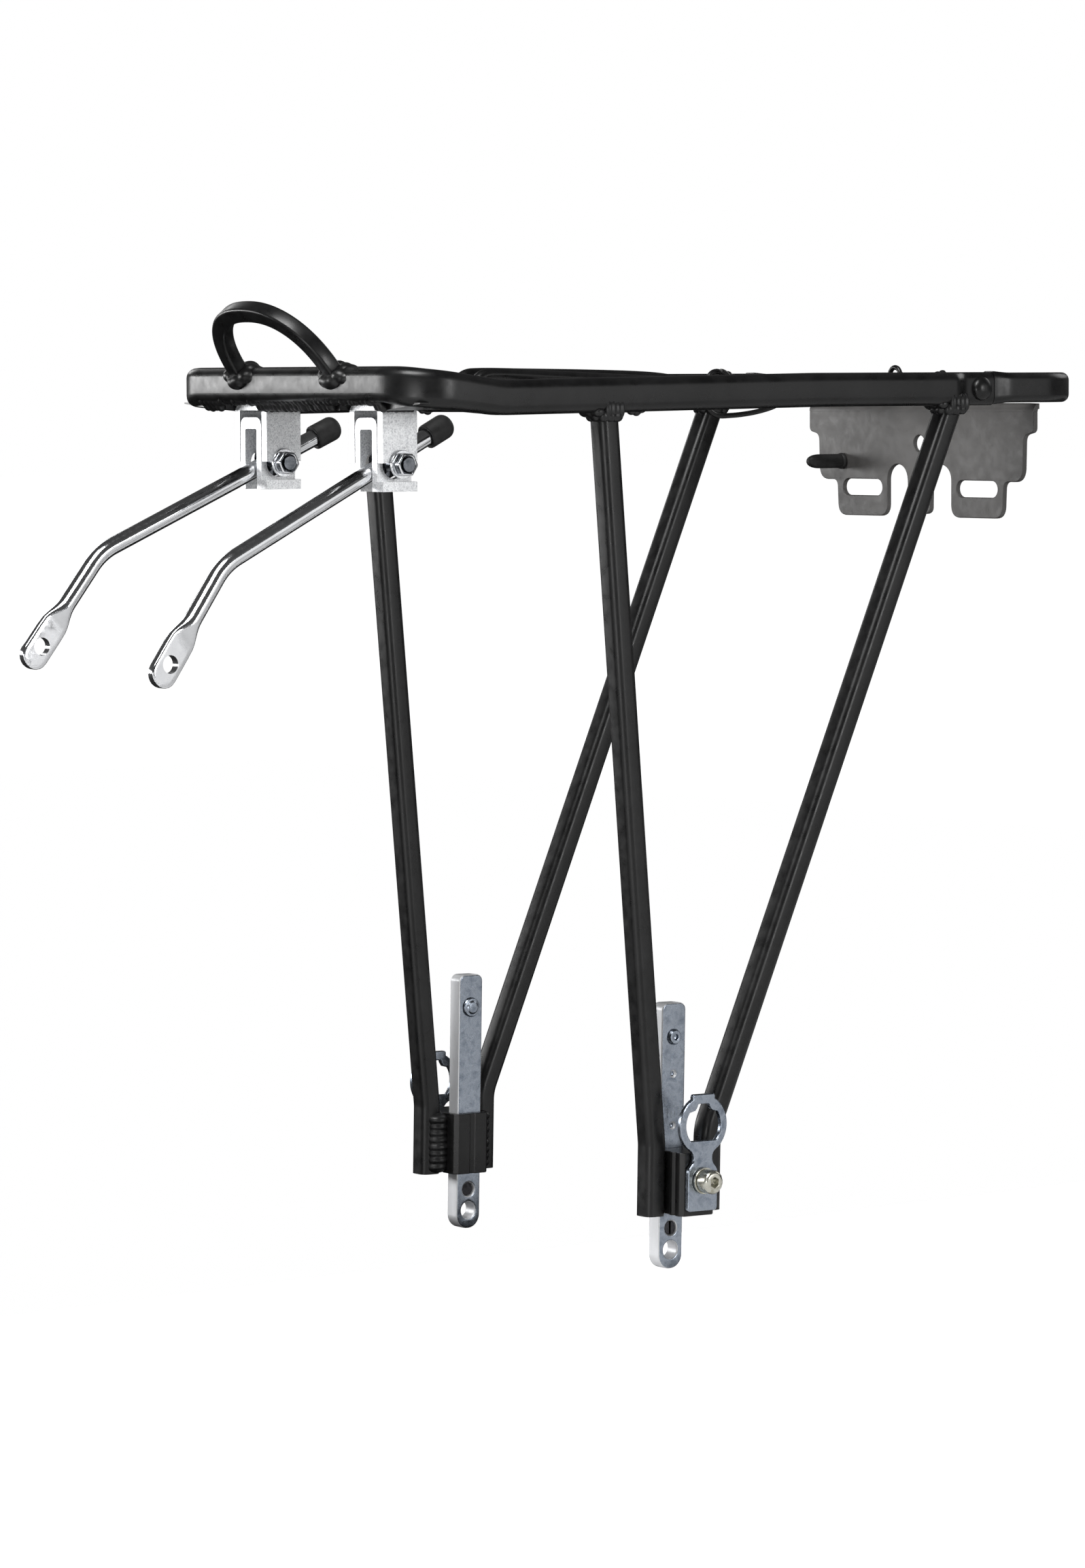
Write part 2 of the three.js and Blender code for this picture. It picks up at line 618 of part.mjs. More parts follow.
// ---------- light plate ----------
function lightOutline() {
  const top = LIGHT.top - LIGHT.bend;
  const shape = new THREE.Shape();
  const right = [[LIGHT.half, top], [LIGHT.half, -15], [62, -16.4], [59.2, -17], [58.3, -18.6], [57.9, -29.6]];
  shape.moveTo(0, top);
  right.forEach(([y, z]) => shape.lineTo(y, z));
  shape.quadraticCurveTo(57.4, -34.2, 53, -34.3);
  shape.lineTo(49.6, -34.3);
  shape.quadraticCurveTo(47.4, -34.5, 47.2, -37);
  shape.lineTo(46.9, -43.5);
  shape.quadraticCurveTo(46.6, -47.8, 42.2, -47.9);
  shape.lineTo(22.8, -47.9);
  shape.quadraticCurveTo(18.2, -47.8, 18, -43.5);
  shape.lineTo(18, -34);
  shape.absarc(12.3, -34, 5.7, 0, Math.PI / 2, false);
  shape.bezierCurveTo(8.8, -28.3, 6.6, -31, 6.6, -35);
  shape.lineTo(6.4, -44.4);
  shape.quadraticCurveTo(6.2, -46.6, 3.4, -46.8);
  shape.lineTo(0, -46.8);
  const points = shape.getPoints(4);
  const mirrored = points.slice(1, -1).reverse().map((p) => new THREE.Vector2(-p.x, p.y));
  return new THREE.Shape([...points, ...mirrored].reverse());
}

function lightPlate() {
  const { x, thick, half, bend: radius, top, flangeRear } = LIGHT;
  const face = plateYZ(lightOutline(), x, x + thick);
  const profile = new THREE.Shape();
  profile.moveTo(x, top - radius - 1);
  profile.lineTo(x + thick, top - radius - 1);
  profile.lineTo(x + thick, top - radius);
  profile.absarc(x + radius, top - radius, radius - thick, Math.PI, Math.PI / 2, true);
  profile.lineTo(flangeRear, top - thick);
  profile.lineTo(flangeRear, top);
  profile.absarc(x + radius, top - radius, radius, Math.PI / 2, Math.PI, false);
  const flange = plateXZ(profile, 2 * half, 0, 0, 4);
  const corners = SIDES.map(([side]) => flangeCorner(side));
  const slots = SIDES.map(([side]) => lightSlot(side * LIGHT_SLOT.y));
  const hole = plateYZ(circleShape(LIGHT_HOLE.r, 0, LIGHT_HOLE.z), x - 2, x + 4);
  const pegHole = plateYZ(circleShape(2.1, PEG.y, PEG.z), x - 2, x + 4);
  return cut(join(face, flange), ...corners, ...slots, hole, pegHole);
}

// what is cut from the flange, whose sides taper to the rear
function flangeCorner(side) {
  const { x, half, top, flangeRear, flangeHalf } = LIGHT;
  const bendEnd = x + 3;
  const rear = flangeRear + 1;
  const outline = [[bendEnd, half + 1], [bendEnd, half - 1.5], [rear, flangeHalf], [rear, half + 1]];
  const shape = polygon(outline.map(([px, py]) => [px, side * py]));
  return placed(new THREE.ExtrudeGeometry(shape, { depth: 8, bevelEnabled: false }), 0, 0, top - 5);
}

function lightSlot(y) {
  const { z, half, r } = LIGHT_SLOT;
  const shape = new THREE.Shape();
  shape.absarc(y + half - r, z, r, -Math.PI / 2, Math.PI / 2);
  shape.absarc(y - half + r, z, r, Math.PI / 2, 1.5 * Math.PI);
  return plateYZ(shape, LIGHT.x - 2, LIGHT.x + 4, 5);
}

// a peg with a grooved shank, riveted through the light plate
function pumpPeg() {
  const base = LIGHT.x - GAP;
  const long = base - PEG.tipX;
  const r = PEG.r;
  const back = -LIGHT.thick - 2 * GAP;
  const outline = [
    [0, back - 1], [2.6, back - 1], [2.9, back], [1.8, back], [1.8, 0], [r + 0.3, 0], [r + 0.3, 1],
    [r, 1.3], [r, long - 5], [r - 0.7, long - 2.6], [r - 1.6, long - 0.8], [0, long],
  ];
  const points = outline.map(([radius, y]) => new THREE.Vector2(radius, y));
  const peg = new THREE.LatheGeometry(points, 16);
  peg.rotateZ(Math.PI / 2);
  return placed(peg, base, PEG.y, PEG.z);
}

// ---------- stay channels and clamps ----------
function archOutline({ half, wall, top, roof, bottom, corner }) {
  const inner = half - wall;
  const under = top - roof;
  const shape = new THREE.Shape();
  shape.moveTo(half, bottom);
  shape.lineTo(half, top - corner);
  shape.absarc(half - corner, top - corner, corner, 0, Math.PI / 2);
  shape.absarc(-half + corner, top - corner, corner, Math.PI / 2, Math.PI);
  shape.lineTo(-half, bottom);
  shape.lineTo(-inner, bottom);
  shape.lineTo(-inner, under - 1);
  shape.quadraticCurveTo(-inner, under, -inner + 1, under);
  shape.lineTo(inner - 1, under);
  shape.quadraticCurveTo(inner, under, inner, under - 1);
  shape.lineTo(inner, bottom);
  return shape;
}

function outerChannel(side) {
  const arch = plateYZ(archOutline(OUTER_CHANNEL), CHANNEL.front, CHANNEL.rear, 4);
  const notch = barrelY(EYE.shank + 0.9, -12, 12, PIVOT.x, PIVOT.z, 20);
  return placed(cut(arch, notch), 0, side * CHANNEL.y, 0);
}

// the inner channel hugs the rod; its left wall turns outward into a lip under the nut
function innerChannel(side) {
  const { half, wall, bottom, lip } = INNER_CHANNEL;
  const arch = plateYZ(archOutline(INNER_CHANNEL), CHANNEL.front, CHANNEL.rear, 4);
  const lipThick = 3.4;
  const long = CHANNEL.rear - CHANNEL.front;
  const middle = (CHANNEL.rear + CHANNEL.front) / 2;
  const deep = lip + wall;
  const flange = box(long, deep, lipThick, middle, -half + wall - deep / 2, bottom + lipThick / 2);
  const window = barrelY(4.9, -12, 12, PIVOT.x, PIVOT.z, 20);
  return placed(cut(join(arch, flange), window), 0, side * CHANNEL.y, 0);
}

// an eye bolt: the eye rides on the rod and its shank leaves through the channels to the nut.
// Its frame has the pivot at the origin and x along the rod.
function eyeBolt() {
  const ring = new THREE.CylinderGeometry(EYE.outer, EYE.outer, 2 * EYE.half, 24);
  ring.rotateZ(Math.PI / 2);
  const shank = barrelY(EYE.shank, -EYE.end, -EYE.bore - 0.6, 0, 0, 16);
  const bore = new THREE.CylinderGeometry(EYE.bore, EYE.bore, 12, 24);
  bore.rotateZ(Math.PI / 2);
  return cut(join(ring, shank), bore);
}

function stayWasher() {
  const { r, at, thick } = STAY_WASHER;
  return cut(barrelY(r, -at - thick, -at, 0, 0), barrelY(EYE.shank + GAP, -at - 3, -at + 3, 0, 0, 16));
}

function stayNut() {
  const { r, at, thick } = STAY_NUT;
  const nut = barrelY(r, -at - thick, -at, 0, 0, 6);
  return cut(nut, barrelY(EYE.shank + GAP, -at - 6, -at + 3, 0, 0, 16));
}

function stayRod() {
  const drop = radians(ROD.bendAngle);
  const ahead = (long) => [ROD.bend - long * Math.cos(drop), 0, -long * Math.sin(drop)];
  const corners = [[ROD.rear, 0, 0], [ROD.bend, 0, 0, ROD.bendRadius, 5], ahead(ROD.toHole - 10)];
  const round = sweep(circleShape(ROD_R), rounded(corners), vec(0, 1, 0), 4);
  const flat = rodEye().rotateY(-drop);
  return join(round, placed(flat, ROD.bend, 0, 0));
}

// the flattened end, drawn along -x from the bend, with the frame bolt's hole
function rodEye() {
  const { half, thick, hole, taper } = ROD_EYE;
  const end = -ROD.toTip;
  const start = -ROD.toHole + taper;
  const shape = new THREE.Shape();
  shape.moveTo(start + 4, 2);
  shape.bezierCurveTo(start, 2.6, start - 3, half, start - 9, half);
  shape.lineTo(end + 3, half - 0.2);
  shape.quadraticCurveTo(end, half - 0.6, end, 1.5);
  shape.lineTo(end, -1.5);
  shape.quadraticCurveTo(end, -half + 0.6, end + 3, -half + 0.2);
  shape.lineTo(start - 9, -half);
  shape.bezierCurveTo(start - 3, -half, start, -2.6, start + 4, -2);
  const blank = plateXZ(shape, thick, 0, 0.5, 5);
  return cut(blank, barrelY(hole, -6, 6, -ROD.toHole, 0, 20));
}

function rodCap() {
  const { r, round, front, end, bore } = CAP;
  const dome = [0, 0.25, 0.5, 0.75].map((share) => {
    const angle = (share * Math.PI) / 2;
    return [r - round + round * Math.cos(angle), end - round + round * Math.sin(angle)];
  });
  const outline = [
    [bore, front], [r - 0.5, front], [r, front + 0.6], ...dome, [r - round, end], [0, end],
    [0, ROD.rear + GAP], [bore, ROD.rear + GAP], [bore, front],
  ];
  const points = outline.map(([radius, y]) => new THREE.Vector2(radius, y));
  return new THREE.LatheGeometry(points, 18).rotateZ(-Math.PI / 2);
}

// ---------- assembly ----------
function piece(name, geometry, look) {
  const mesh = new THREE.Mesh(geometry, new THREE.MeshStandardMaterial(look));
  mesh.name = name;
  return mesh;
}

function platformPieces() {
  return [
    piece("platform_loop", platformLoop(), POWDER_COAT),
    piece("rear_loop", rearLoop(), POWDER_COAT),
    piece("front_hoop", frontHoop(), POWDER_COAT),
    piece("stay_plate", stayPlate(), POWDER_COAT),
    piece("front_tie", tieTube(FRONT_TIE), POWDER_COAT),
    piece("rear_tie", tieTube(REAR_TIE), POWDER_COAT),
    piece("flap_hinge_rod", tieTube(HINGE, 16), POWDER_COAT),
    piece("flap_spring", flapSpring(), POWDER_COAT),
    piece("spring_flap", springFlap(), POWDER_COAT),
    piece("strap_staple", strapStaple(), POWDER_COAT),
    piece("light_plate", lightPlate(), LIGHT_PLATE_COAT),
    piece("pump_peg", pumpPeg(), RUBBER),
  ];
}

function sidePieces(side, name) {
  const rivet = piece(`rail_rivet_${name}`, railRivet(), POWDER_COAT);
  rivet.position.set(RIVET_X, side * RAIL_Y, RAIL_Z);
  return [
    rivet,
    piece(`front_leg_${name}`, leg(side, FRONT_LEG), POWDER_COAT),
    piece(`rear_leg_${name}`, leg(side, REAR_LEG), POWDER_COAT),
    piece(`stay_channel_${name}`, outerChannel(side), BLASTED),
    piece(`stay_inner_channel_${name}`, innerChannel(side), BLASTED),
  ];
}

function foot(side, name) {
  const group = new THREE.Group();
  group.position.set(FOOT.x, 0, FOOT.z);
  group.rotation.y = radians(FOOT.lean);
  group.add(
    piece(`foot_block_${name}`, footBlock(side), POWDER_COAT),
    piece(`foot_bar_${name}`, footBar(side), BRIGHT_ZINC),
    piece(`bar_stop_${name}`, barStop(side), BRIGHT_ZINC),
    piece(`bar_screw_${name}`, barScrew(side), RUBBER),
    piece(`strap_ring_${name}`, strapRing(side), POLISHED),
    piece(`ring_washer_${name}`, ringWasher(side), YELLOW_ZINC),
    piece(`ring_screw_${name}`, ringScrew(side), YELLOW_ZINC),
  );
  return group;
}

// the clamp and its rod tilt together about the eye bolt; the rod also slides through the eye
function stay(side, name) {
  const splay = new THREE.Group();
  splay.position.set(PIVOT.x, side * CHANNEL.y, PIVOT.z);
  splay.rotation.z = radians(-side * STAY_SPLAY);
  const tilt = new THREE.Group();
  tilt.rotation.y = radians(-STAY_TILT[name]);
  splay.add(tilt);
  tilt.add(
    piece(`eye_bolt_${name}`, eyeBolt(), BRIGHT_ZINC),
    piece(`stay_washer_${name}`, stayWasher(), BRIGHT_ZINC),
    piece(`stay_nut_${name}`, stayNut(), BRIGHT_ZINC),
    piece(`stay_rod_${name}`, stayRod(), POLISHED),
    piece(`rod_cap_${name}`, rodCap(), RUBBER),
  );
  return splay;
}

// the middle of the line through the foot bars' fixing holes
function fixingPoint() {
  const drop = vec(0, 0, BAR_EYE_Z).applyAxisAngle(vec(0, 1, 0), radians(FOOT.lean));
  return vec(FOOT.x, 0, FOOT.z).add(drop);
}

function carrier() {
  const group = new THREE.Group();
  group.position.copy(fixingPoint()).negate();
  group.add(...platformPieces());
  for (const [side, name] of SIDES) {
    group.add(...sidePieces(side, name), foot(side, name), stay(side, name));
  }
  return group;
}

export default carrier();
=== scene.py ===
"""A bicycle's rear luggage carrier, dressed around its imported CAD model.

Shapes are given in millimetres in the carrier's platform frame: +X to the back, +Y to the right,
+Z up, from a point between the rails above the front legs. place() takes them to the row frame.
"""

import math
import random

import bmesh
import bpy
from mathutils import Matrix, Vector


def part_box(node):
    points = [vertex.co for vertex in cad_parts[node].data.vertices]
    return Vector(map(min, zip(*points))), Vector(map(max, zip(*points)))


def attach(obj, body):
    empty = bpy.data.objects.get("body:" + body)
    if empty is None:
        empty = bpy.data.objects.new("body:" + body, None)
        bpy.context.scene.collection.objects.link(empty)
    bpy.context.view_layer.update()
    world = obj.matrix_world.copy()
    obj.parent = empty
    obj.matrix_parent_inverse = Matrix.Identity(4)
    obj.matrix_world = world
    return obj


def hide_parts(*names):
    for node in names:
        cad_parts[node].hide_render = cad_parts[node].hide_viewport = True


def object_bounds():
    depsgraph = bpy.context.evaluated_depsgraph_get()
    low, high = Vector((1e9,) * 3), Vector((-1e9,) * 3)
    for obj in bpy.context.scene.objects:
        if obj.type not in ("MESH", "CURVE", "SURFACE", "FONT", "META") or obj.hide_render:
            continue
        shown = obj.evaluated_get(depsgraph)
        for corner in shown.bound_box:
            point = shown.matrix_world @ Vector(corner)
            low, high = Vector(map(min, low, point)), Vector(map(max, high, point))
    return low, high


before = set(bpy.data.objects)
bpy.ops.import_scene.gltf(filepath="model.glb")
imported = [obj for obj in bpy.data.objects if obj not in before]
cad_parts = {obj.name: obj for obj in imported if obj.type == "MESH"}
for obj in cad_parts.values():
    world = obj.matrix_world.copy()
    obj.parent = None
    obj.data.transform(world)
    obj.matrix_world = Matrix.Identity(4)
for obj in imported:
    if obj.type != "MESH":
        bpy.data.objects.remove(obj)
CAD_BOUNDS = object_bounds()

MM = 0.001
SIDES = ((-1, "left"), (1, "right"))

# ---------- where the platform frame lies in the row frame ----------
FRONT_TIE_X, FRONT_TIE_Z = 19, -2.6
_low, _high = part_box("front_tie")
_mid_x, _mid_z = (_low.x + _high.x) / 2, (_low.z + _high.z) / 2
ORIGIN = Vector((_mid_x - FRONT_TIE_X * MM, 0, _mid_z - FRONT_TIE_Z * MM))


def place(point):
    return Vector(point) * MM + ORIGIN


# ---------- dimensions shared with the CAD ----------
GAP = 0.3  # between pieces that are welded or riveted on the real carrier
RAIL_Y = 68
RAIL_Z = 0.15
TUBE = 12
PRESSED = 7  # width of the rails' flattened ends
FRONT_X, FRONT_Z = -80.3, 3
DIP_X, DIP_Z = -46, -1.75
LEVEL_X = 96
RAIL_END_X = 176.5
RIVET_X = 170.4
LOOP_X, LOOP_Z = 220.86, 0.5
LOOP_WIDE, LOOP_TALL = 10.6, 10.9
REAR_TIE_X, REAR_TIE_Z = 160, 0.6
HINGE_X, HINGE_Z = 95, 2
HOOP_HALF = 28.2
HOOP_X, HOOP_Z = -84.6, 6.1
HOOP_LEAN = math.radians(38)
FOOT = Vector((33, 0, -276))
FOOT_LEAN = math.radians(1.4)
LEG_Y, LEG_END_Z = 66.6, -287.2
STAY_Y = 34.7
PIVOT_X, PIVOT_Z = -69.2, -24.3
STAY_TILT = {"left": 25.8, "right": 23.7}
STAY_SPLAY = 2
BAR_Y, BAR_THICK = 59.75, 6
BLOCK_OUTER = 78
PLATE_X, PLATE_THICK = 204, 2
SLOT_Y, SLOT_Z = 32.5, -37.1
PEG_Y, PEG_Z = 44, -27.3


# ---------- materials ----------
def material(name, color, metallic=0.0, roughness=0.5, specular=0.5):
    mat = bpy.data.materials.new(name)
    mat.use_nodes = True
    shader = mat.node_tree.nodes["Principled BSDF"]
    shader.inputs["Base Color"].default_value = (*color, 1)
    shader.inputs["Metallic"].default_value = metallic
    shader.inputs["Roughness"].default_value = roughness
    shader.inputs["Specular IOR Level"].default_value = specular
    mat.diffuse_color = (*color, 1)
    return mat


def add(mat, kind, **inputs):
    node = mat.node_tree.nodes.new(kind)
    for key, value in inputs.items():
        node.inputs[key].default_value = value
    return node


def link(mat, source, target):
    mat.node_tree.links.new(source, target)


def coordinates(mat, scale=(1, 1, 1)):
    texture = add(mat, "ShaderNodeTexCoord")
    mapping = add(mat, "ShaderNodeMapping")
    mapping.inputs["Scale"].default_value = scale
    link(mat, texture.outputs["Object"], mapping.inputs["Vector"])
    return mapping.outputs["Vector"]


def noise(mat, scale, detail=4.0, roughness=0.55, stretch=(1, 1, 1), distortion=0.0):
    look = dict(Scale=scale, Detail=detail, Roughness=roughness, Distortion=distortion)
    node = add(mat, "ShaderNodeTexNoise", **look)
    link(mat, coordinates(mat, stretch), node.inputs["Vector"])
    return node.outputs["Fac"]


def ramp(mat, fac, stops):
    node = add(mat, "ShaderNodeValToRGB")
    elements = node.color_ramp.elements
    while len(elements) < len(stops):
        elements.new(0.5)
    for element, (at, value) in zip(elements, stops):
        element.position = at
        element.color = (*value, 1) if hasattr(value, "__len__") else (value, value, value, 1)
    link(mat, fac, node.inputs["Fac"])
    return node.outputs["Color"]


def shader_input(mat, name):
    return mat.node_tree.nodes["Principled BSDF"].inputs[name]


def bump(mat, height, strength, distance, below=None):
    node = add(mat, "ShaderNodeBump", Strength=strength, Distance=distance)
    link(mat, height, node.inputs["Height"])
    if below is not None:
        link(mat, below, node.inputs["Normal"])
    link(mat, node.outputs["Normal"], shader_input(mat, "Normal"))
    return node.outputs["Normal"]


def powder_coat(name, color, roughness, grain=1.0, specular=0.5):
    """Fine orange peel over a satin pigment, with faint dust and gloss variation."""
    mat = material(name, color, roughness=roughness, specular=specular)
    light = tuple(min(1, c * 1.7 + 0.004) for c in color)
    blotch = noise(mat, 60, detail=6)
    link(mat, ramp(mat, blotch, [(0.35, color), (0.75, light)]), shader_input(mat, "Base Color"))
    gloss = noise(mat, 240, detail=5)
    span = [(0.3, roughness - 0.06), (0.7, roughness + 0.08)]
    link(mat, ramp(mat, gloss, span), shader_input(mat, "Roughness"))
    peel = noise(mat, 900, detail=3, roughness=0.45)
    wave = noise(mat, 130, detail=1)
    bump(mat, peel, 0.04 * grain, 0.0001, bump(mat, wave, 0.03 * grain, 0.0003))
    return mat


def zinc(name, dark, light, roughness):
    """Plated steel: cloudy patches, fine crystals and rolling marks."""
    mat = material(name, light, metallic=1.0, roughness=roughness)
    clouds = noise(mat, 230, detail=6, roughness=0.65, distortion=0.4)
    tones = [(0.32, dark), (0.5, light), (0.7, dark)]
    link(mat, ramp(mat, clouds, tones), shader_input(mat, "Base Color"))
    sheen = noise(mat, 420, detail=5)
    span = [(0.3, roughness - 0.05), (0.7, roughness + 0.08)]
    link(mat, ramp(mat, sheen, span), shader_input(mat, "Roughness"))
    bump(mat, noise(mat, 1300, detail=3), 0.07, 0.0001)
    return mat


def satin(name, color):
    """Zinc for plated edges, painted lighter than the faces as an edge highlight: broad soft sheen with
    fine drag marks.
    """
    mat = material(name, color, metallic=0.55, roughness=0.5)
    drag = noise(mat, 90, detail=4, stretch=(1, 1, 0.12))
    dark = tuple(c * 0.8 for c in color)
    link(mat, ramp(mat, drag, [(0.35, dark), (0.65, color)]), shader_input(mat, "Base Color"))
    sheen = noise(mat, 600, detail=4)
    link(mat, ramp(mat, sheen, [(0.3, 0.42), (0.7, 0.58)]), shader_input(mat, "Roughness"))
    return mat


def polished(name, color, roughness):
    """Drawn and polished rod: soft lines along its length and small handling marks."""
    mat = material(name, color, metallic=1.0, roughness=roughness)
    marks = noise(mat, 500, detail=5, roughness=0.6)
    span = [(0.35, roughness * 0.85), (0.8, roughness * 1.7)]
    link(mat, ramp(mat, marks, span), shader_input(mat, "Roughness"))
    cloud = noise(mat, 120, detail=4)
    tint = tuple(c * 0.86 for c in color)
    link(mat, ramp(mat, cloud, [(0.3, tint), (0.7, color)]), shader_input(mat, "Base Color"))
    bump(mat, noise(mat, 160, detail=2), 0.01, 0.0002)
    return mat


def blasted(name, dark, light):
    """Sand-blasted aluminium: a sharp salt-and-pepper grain."""
    mat = material(name, light, metallic=0.75, roughness=0.45)
    grain = noise(mat, 1900, detail=6, roughness=0.75)
    link(mat, ramp(mat, grain, [(0.36, dark), (0.56, light)]), shader_input(mat, "Base Color"))
    sheen = noise(mat, 1500, detail=4)
    link(mat, ramp(mat, sheen, [(0.3, 0.34), (0.7, 0.6)]), shader_input(mat, "Roughness"))
    bump(mat, grain, 0.4, 0.00012)
    return mat


def rubber(name, color, roughness):
    """Moulded rubber: dull, with a faint bloom and a fine pitted skin."""
    mat = material(name, color, roughness=roughness, specular=0.35)
    light = tuple(c * 2 + 0.006 for c in color)
    bloom = noise(mat, 300, detail=6)
    link(mat, ramp(mat, bloom, [(0.3, color), (0.8, light)]), shader_input(mat, "Base Color"))
    bump(mat, noise(mat, 1600, detail=4), 0.3, 0.0001)
    return mat


BLACK = powder_coat("black_powder_coat", (0.0035, 0.0035, 0.0037), 0.31, specular=0.38)
WELD = powder_coat("coated_weld", (0.004, 0.004, 0.0042), 0.38, grain=0.5, specular=0.45)
# The light plate's coat: the frame's black coat painted lighter grey, a painted light standing in for
# the light that falls on the plate.
PAINTED_LIGHT_GREY_COAT = powder_coat("painted_light_grey_coat", (0.052, 0.05, 0.0485), 0.5, grain=2.5)
ZINC = zinc("bright_zinc", (0.22, 0.255, 0.31), (0.37, 0.41, 0.47), 0.24)
# Pale zinc: the stay washers' own bright plating, and on the stay nuts' bevelled rims a painted edge
# highlight.
ZINC_AND_PAINTED_EDGE_HIGHLIGHT = zinc("zinc_and_painted_edge_highlight", (0.6, 0.62, 0.65), (0.86, 0.87, 0.89), 0.2)
# Lighter satin zinc for the foot bars' edges: a painted edge highlight.
SATIN_PAINTED_EDGE_HIGHLIGHT = satin("satin_zinc_painted_edge_highlight", (0.8, 0.81, 0.83))
YELLOW = zinc("yellow_zinc", (0.4, 0.39, 0.31), (0.66, 0.65, 0.58), 0.26)
POLISHED = polished("polished_aluminium", (0.86, 0.87, 0.89), 0.11)
BLASTED = blasted("blasted_aluminium", (0.5, 0.51, 0.53), (0.92, 0.93, 0.94))
CUT_EDGE = polished("cut_aluminium_edge", (0.93, 0.93, 0.94), 0.3)
RUBBER = rubber("black_rubber", (0.008, 0.008, 0.008), 0.55)
DARK_STEEL = zinc("blackened_steel", (0.02, 0.02, 0.022), (0.06, 0.06, 0.065), 0.35)
NUT = zinc("dull_zinc", (0.08, 0.09, 0.1), (0.2, 0.21, 0.23), 0.22)


# ---------- mesh helpers ----------
def placed_mesh(name, verts, faces):
    mesh = bpy.data.meshes.new(name)
    mesh.from_pydata([place(v) for v in verts], [], faces)
    return mesh


def make(name, verts, faces, body, mat, replaces=()):
    """One piece from vertices in the platform frame."""
    dress(placed_mesh(name, verts, faces), name, body, [mat], replaces)


def dress(mesh, name, body, mats, replaces=(), angle=35, flat=False):
    """A piece from a mesh in the row frame: shading, finish, body and slot.

    Edges sharper than angle degrees stay sharp. flat is for a flat piece with rounded edges."""
    work = bmesh.new()
    work.from_mesh(mesh)
    bmesh.ops.remove_doubles(work, verts=work.verts, dist=1e-6)
    bmesh.ops.recalc_face_normals(work, faces=work.faces)
    work.to_mesh(mesh)
    work.free()
    mesh.polygons.foreach_set("use_smooth", [True] * len(mesh.polygons))
    mesh.set_sharp_from_angle(angle=math.radians(angle))
    mesh.materials.clear()
    for mat in mats:
        mesh.materials.append(mat)
    obj = bpy.data.objects.new(name, mesh)
    bpy.context.scene.collection.objects.link(obj)
    if flat:
        obj.modifiers.new("normals", "WEIGHTED_NORMAL").keep_sharp = True
    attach(obj, body)
    if replaces:
        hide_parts(*replaces)
    return obj


def rounded_rect(width, height, radius, steps=5):
    points = []
    corners = ((1, 1, 0), (-1, 1, 90), (-1, -1, 180), (1, -1, 270))
    for sx, sy, start in corners:
        for i in range(steps + 1):
            a = math.radians(start + 90 * i / steps)
            x = sx * (width / 2 - radius) + radius * math.cos(a)
            y = sy * (height / 2 - radius) + radius * math.sin(a)
            points.append((x, y))
    return points


def around(steps):
    """Equal steps round a full turn, in radians."""
    return [math.tau * i / steps for i in range(steps)]


def circle(radius, steps):
    return [(radius * math.cos(a), radius * math.sin(a)) for a in around(steps)]


def tube_faces(rings, sides):
    """A closed end at either end, and quads between rings of so many sides each."""
    faces = [list(range(sides))[::-1], [(rings - 1) * sides + i for i in range(sides)]]
    for r in range(rings - 1):
        for i in range(sides):
            j = (i + 1) % sides
            faces.append([r * sides + i, r * sides + j, (r + 1) * sides + j, (r + 1) * sides + i])
    return faces


def bend(before, corner, after, radius, steps):
    """Stations on the arc that rounds a corner."""
    into = (corner - before).normalized()
    out = (after - corner).normalized()
    angle = into.angle(out)
    reach = radius * math.tan(angle / 2)
    start = corner - into * reach
    inward = (out - into * into.dot(out)).normalized()
    stations = []
    for i in range(steps + 1):
        a = angle * i / steps
        stations.append(start + into * (radius * math.sin(a)) + inward * (radius * (1 - math.cos(a))))
    return stations


def rounded_route(corners):
    """Stations along straight runs whose corners (x, y, z, radius, steps) are rounded."""
    points = [Vector(c[:3]) for c in corners]
    stations = [points[0]]
    for i in range(1, len(points) - 1):
        if len(corners[i]) > 3:
            stations += bend(points[i - 1], points[i], points[i + 1], corners[i][3], corners[i][4])
        else:
            stations.append(points[i])
    return stations + [points[-1]]


def spline(points, steps):
    """A smooth line through the points."""
    pts = [Vector(p) for p in points]
    pts = [pts[0] * 2 - pts[1]] + pts + [pts[-1] * 2 - pts[-2]]
    out = []
    for i in range(1, len(pts) - 2):
        a, b, c, d = pts[i - 1 : i + 3]
        reach = (c - b).length
        m1 = (c - a) * (reach / max(1e-6, (c - a).length))
        m2 = (d - b) * (reach / max(1e-6, (d - b).length))
        for k in range(steps):
            t = k / steps
            h1 = 2 * t**3 - 3 * t**2 + 1
            h2 = t**3 - 2 * t**2 + t
            out.append(b * h1 + m1 * h2 + c * (1 - h1) + m2 * (t**3 - t**2))
    return out + [pts[-2]]


def sweep(section, stations, reference):
    """Vertices and faces of a section carried along the stations."""
    ref = Vector(reference)
    last = len(stations) - 1
    verts = []
    for i, at in enumerate(stations):
        into = (at - stations[i - 1]).normalized() if i else (stations[1] - at).normalized()
        out = (stations[i + 1] - at).normalized() if i < last else into
        tangent = (into + out).normalized()
        normal = ref.cross(tangent).normalized()
        binormal = tangent.cross(normal)
        verts += [at + (normal * x + binormal * y) for x, y in section]
    return verts, tube_faces(len(stations), len(section))


def lathe(profile, steps=32):
    """A turned solid round the local X axis from (x, radius) points that start and end at radius 0."""
    verts = []
    rings = []
    for x, r in profile:
        if r < 1e-6:
            rings.append([len(verts)])
            verts.append(Vector((x, 0, 0)))
        else:
            rings.append([len(verts) + i for i in range(steps)])
            verts += [Vector((x, r * math.cos(a), r * math.sin(a))) for a in around(steps)]
    faces = []
    for a, b in zip(rings, rings[1:]):
        for i in range(steps):
            j = (i + 1) % steps
            if len(a) == 1:
                faces.append([a[0], b[i], b[j]])
            elif len(b) == 1:
                faces.append([a[i], b[0], a[j]])
            else:
                faces.append([a[i], b[i], b[j], a[j]])
    return verts, faces


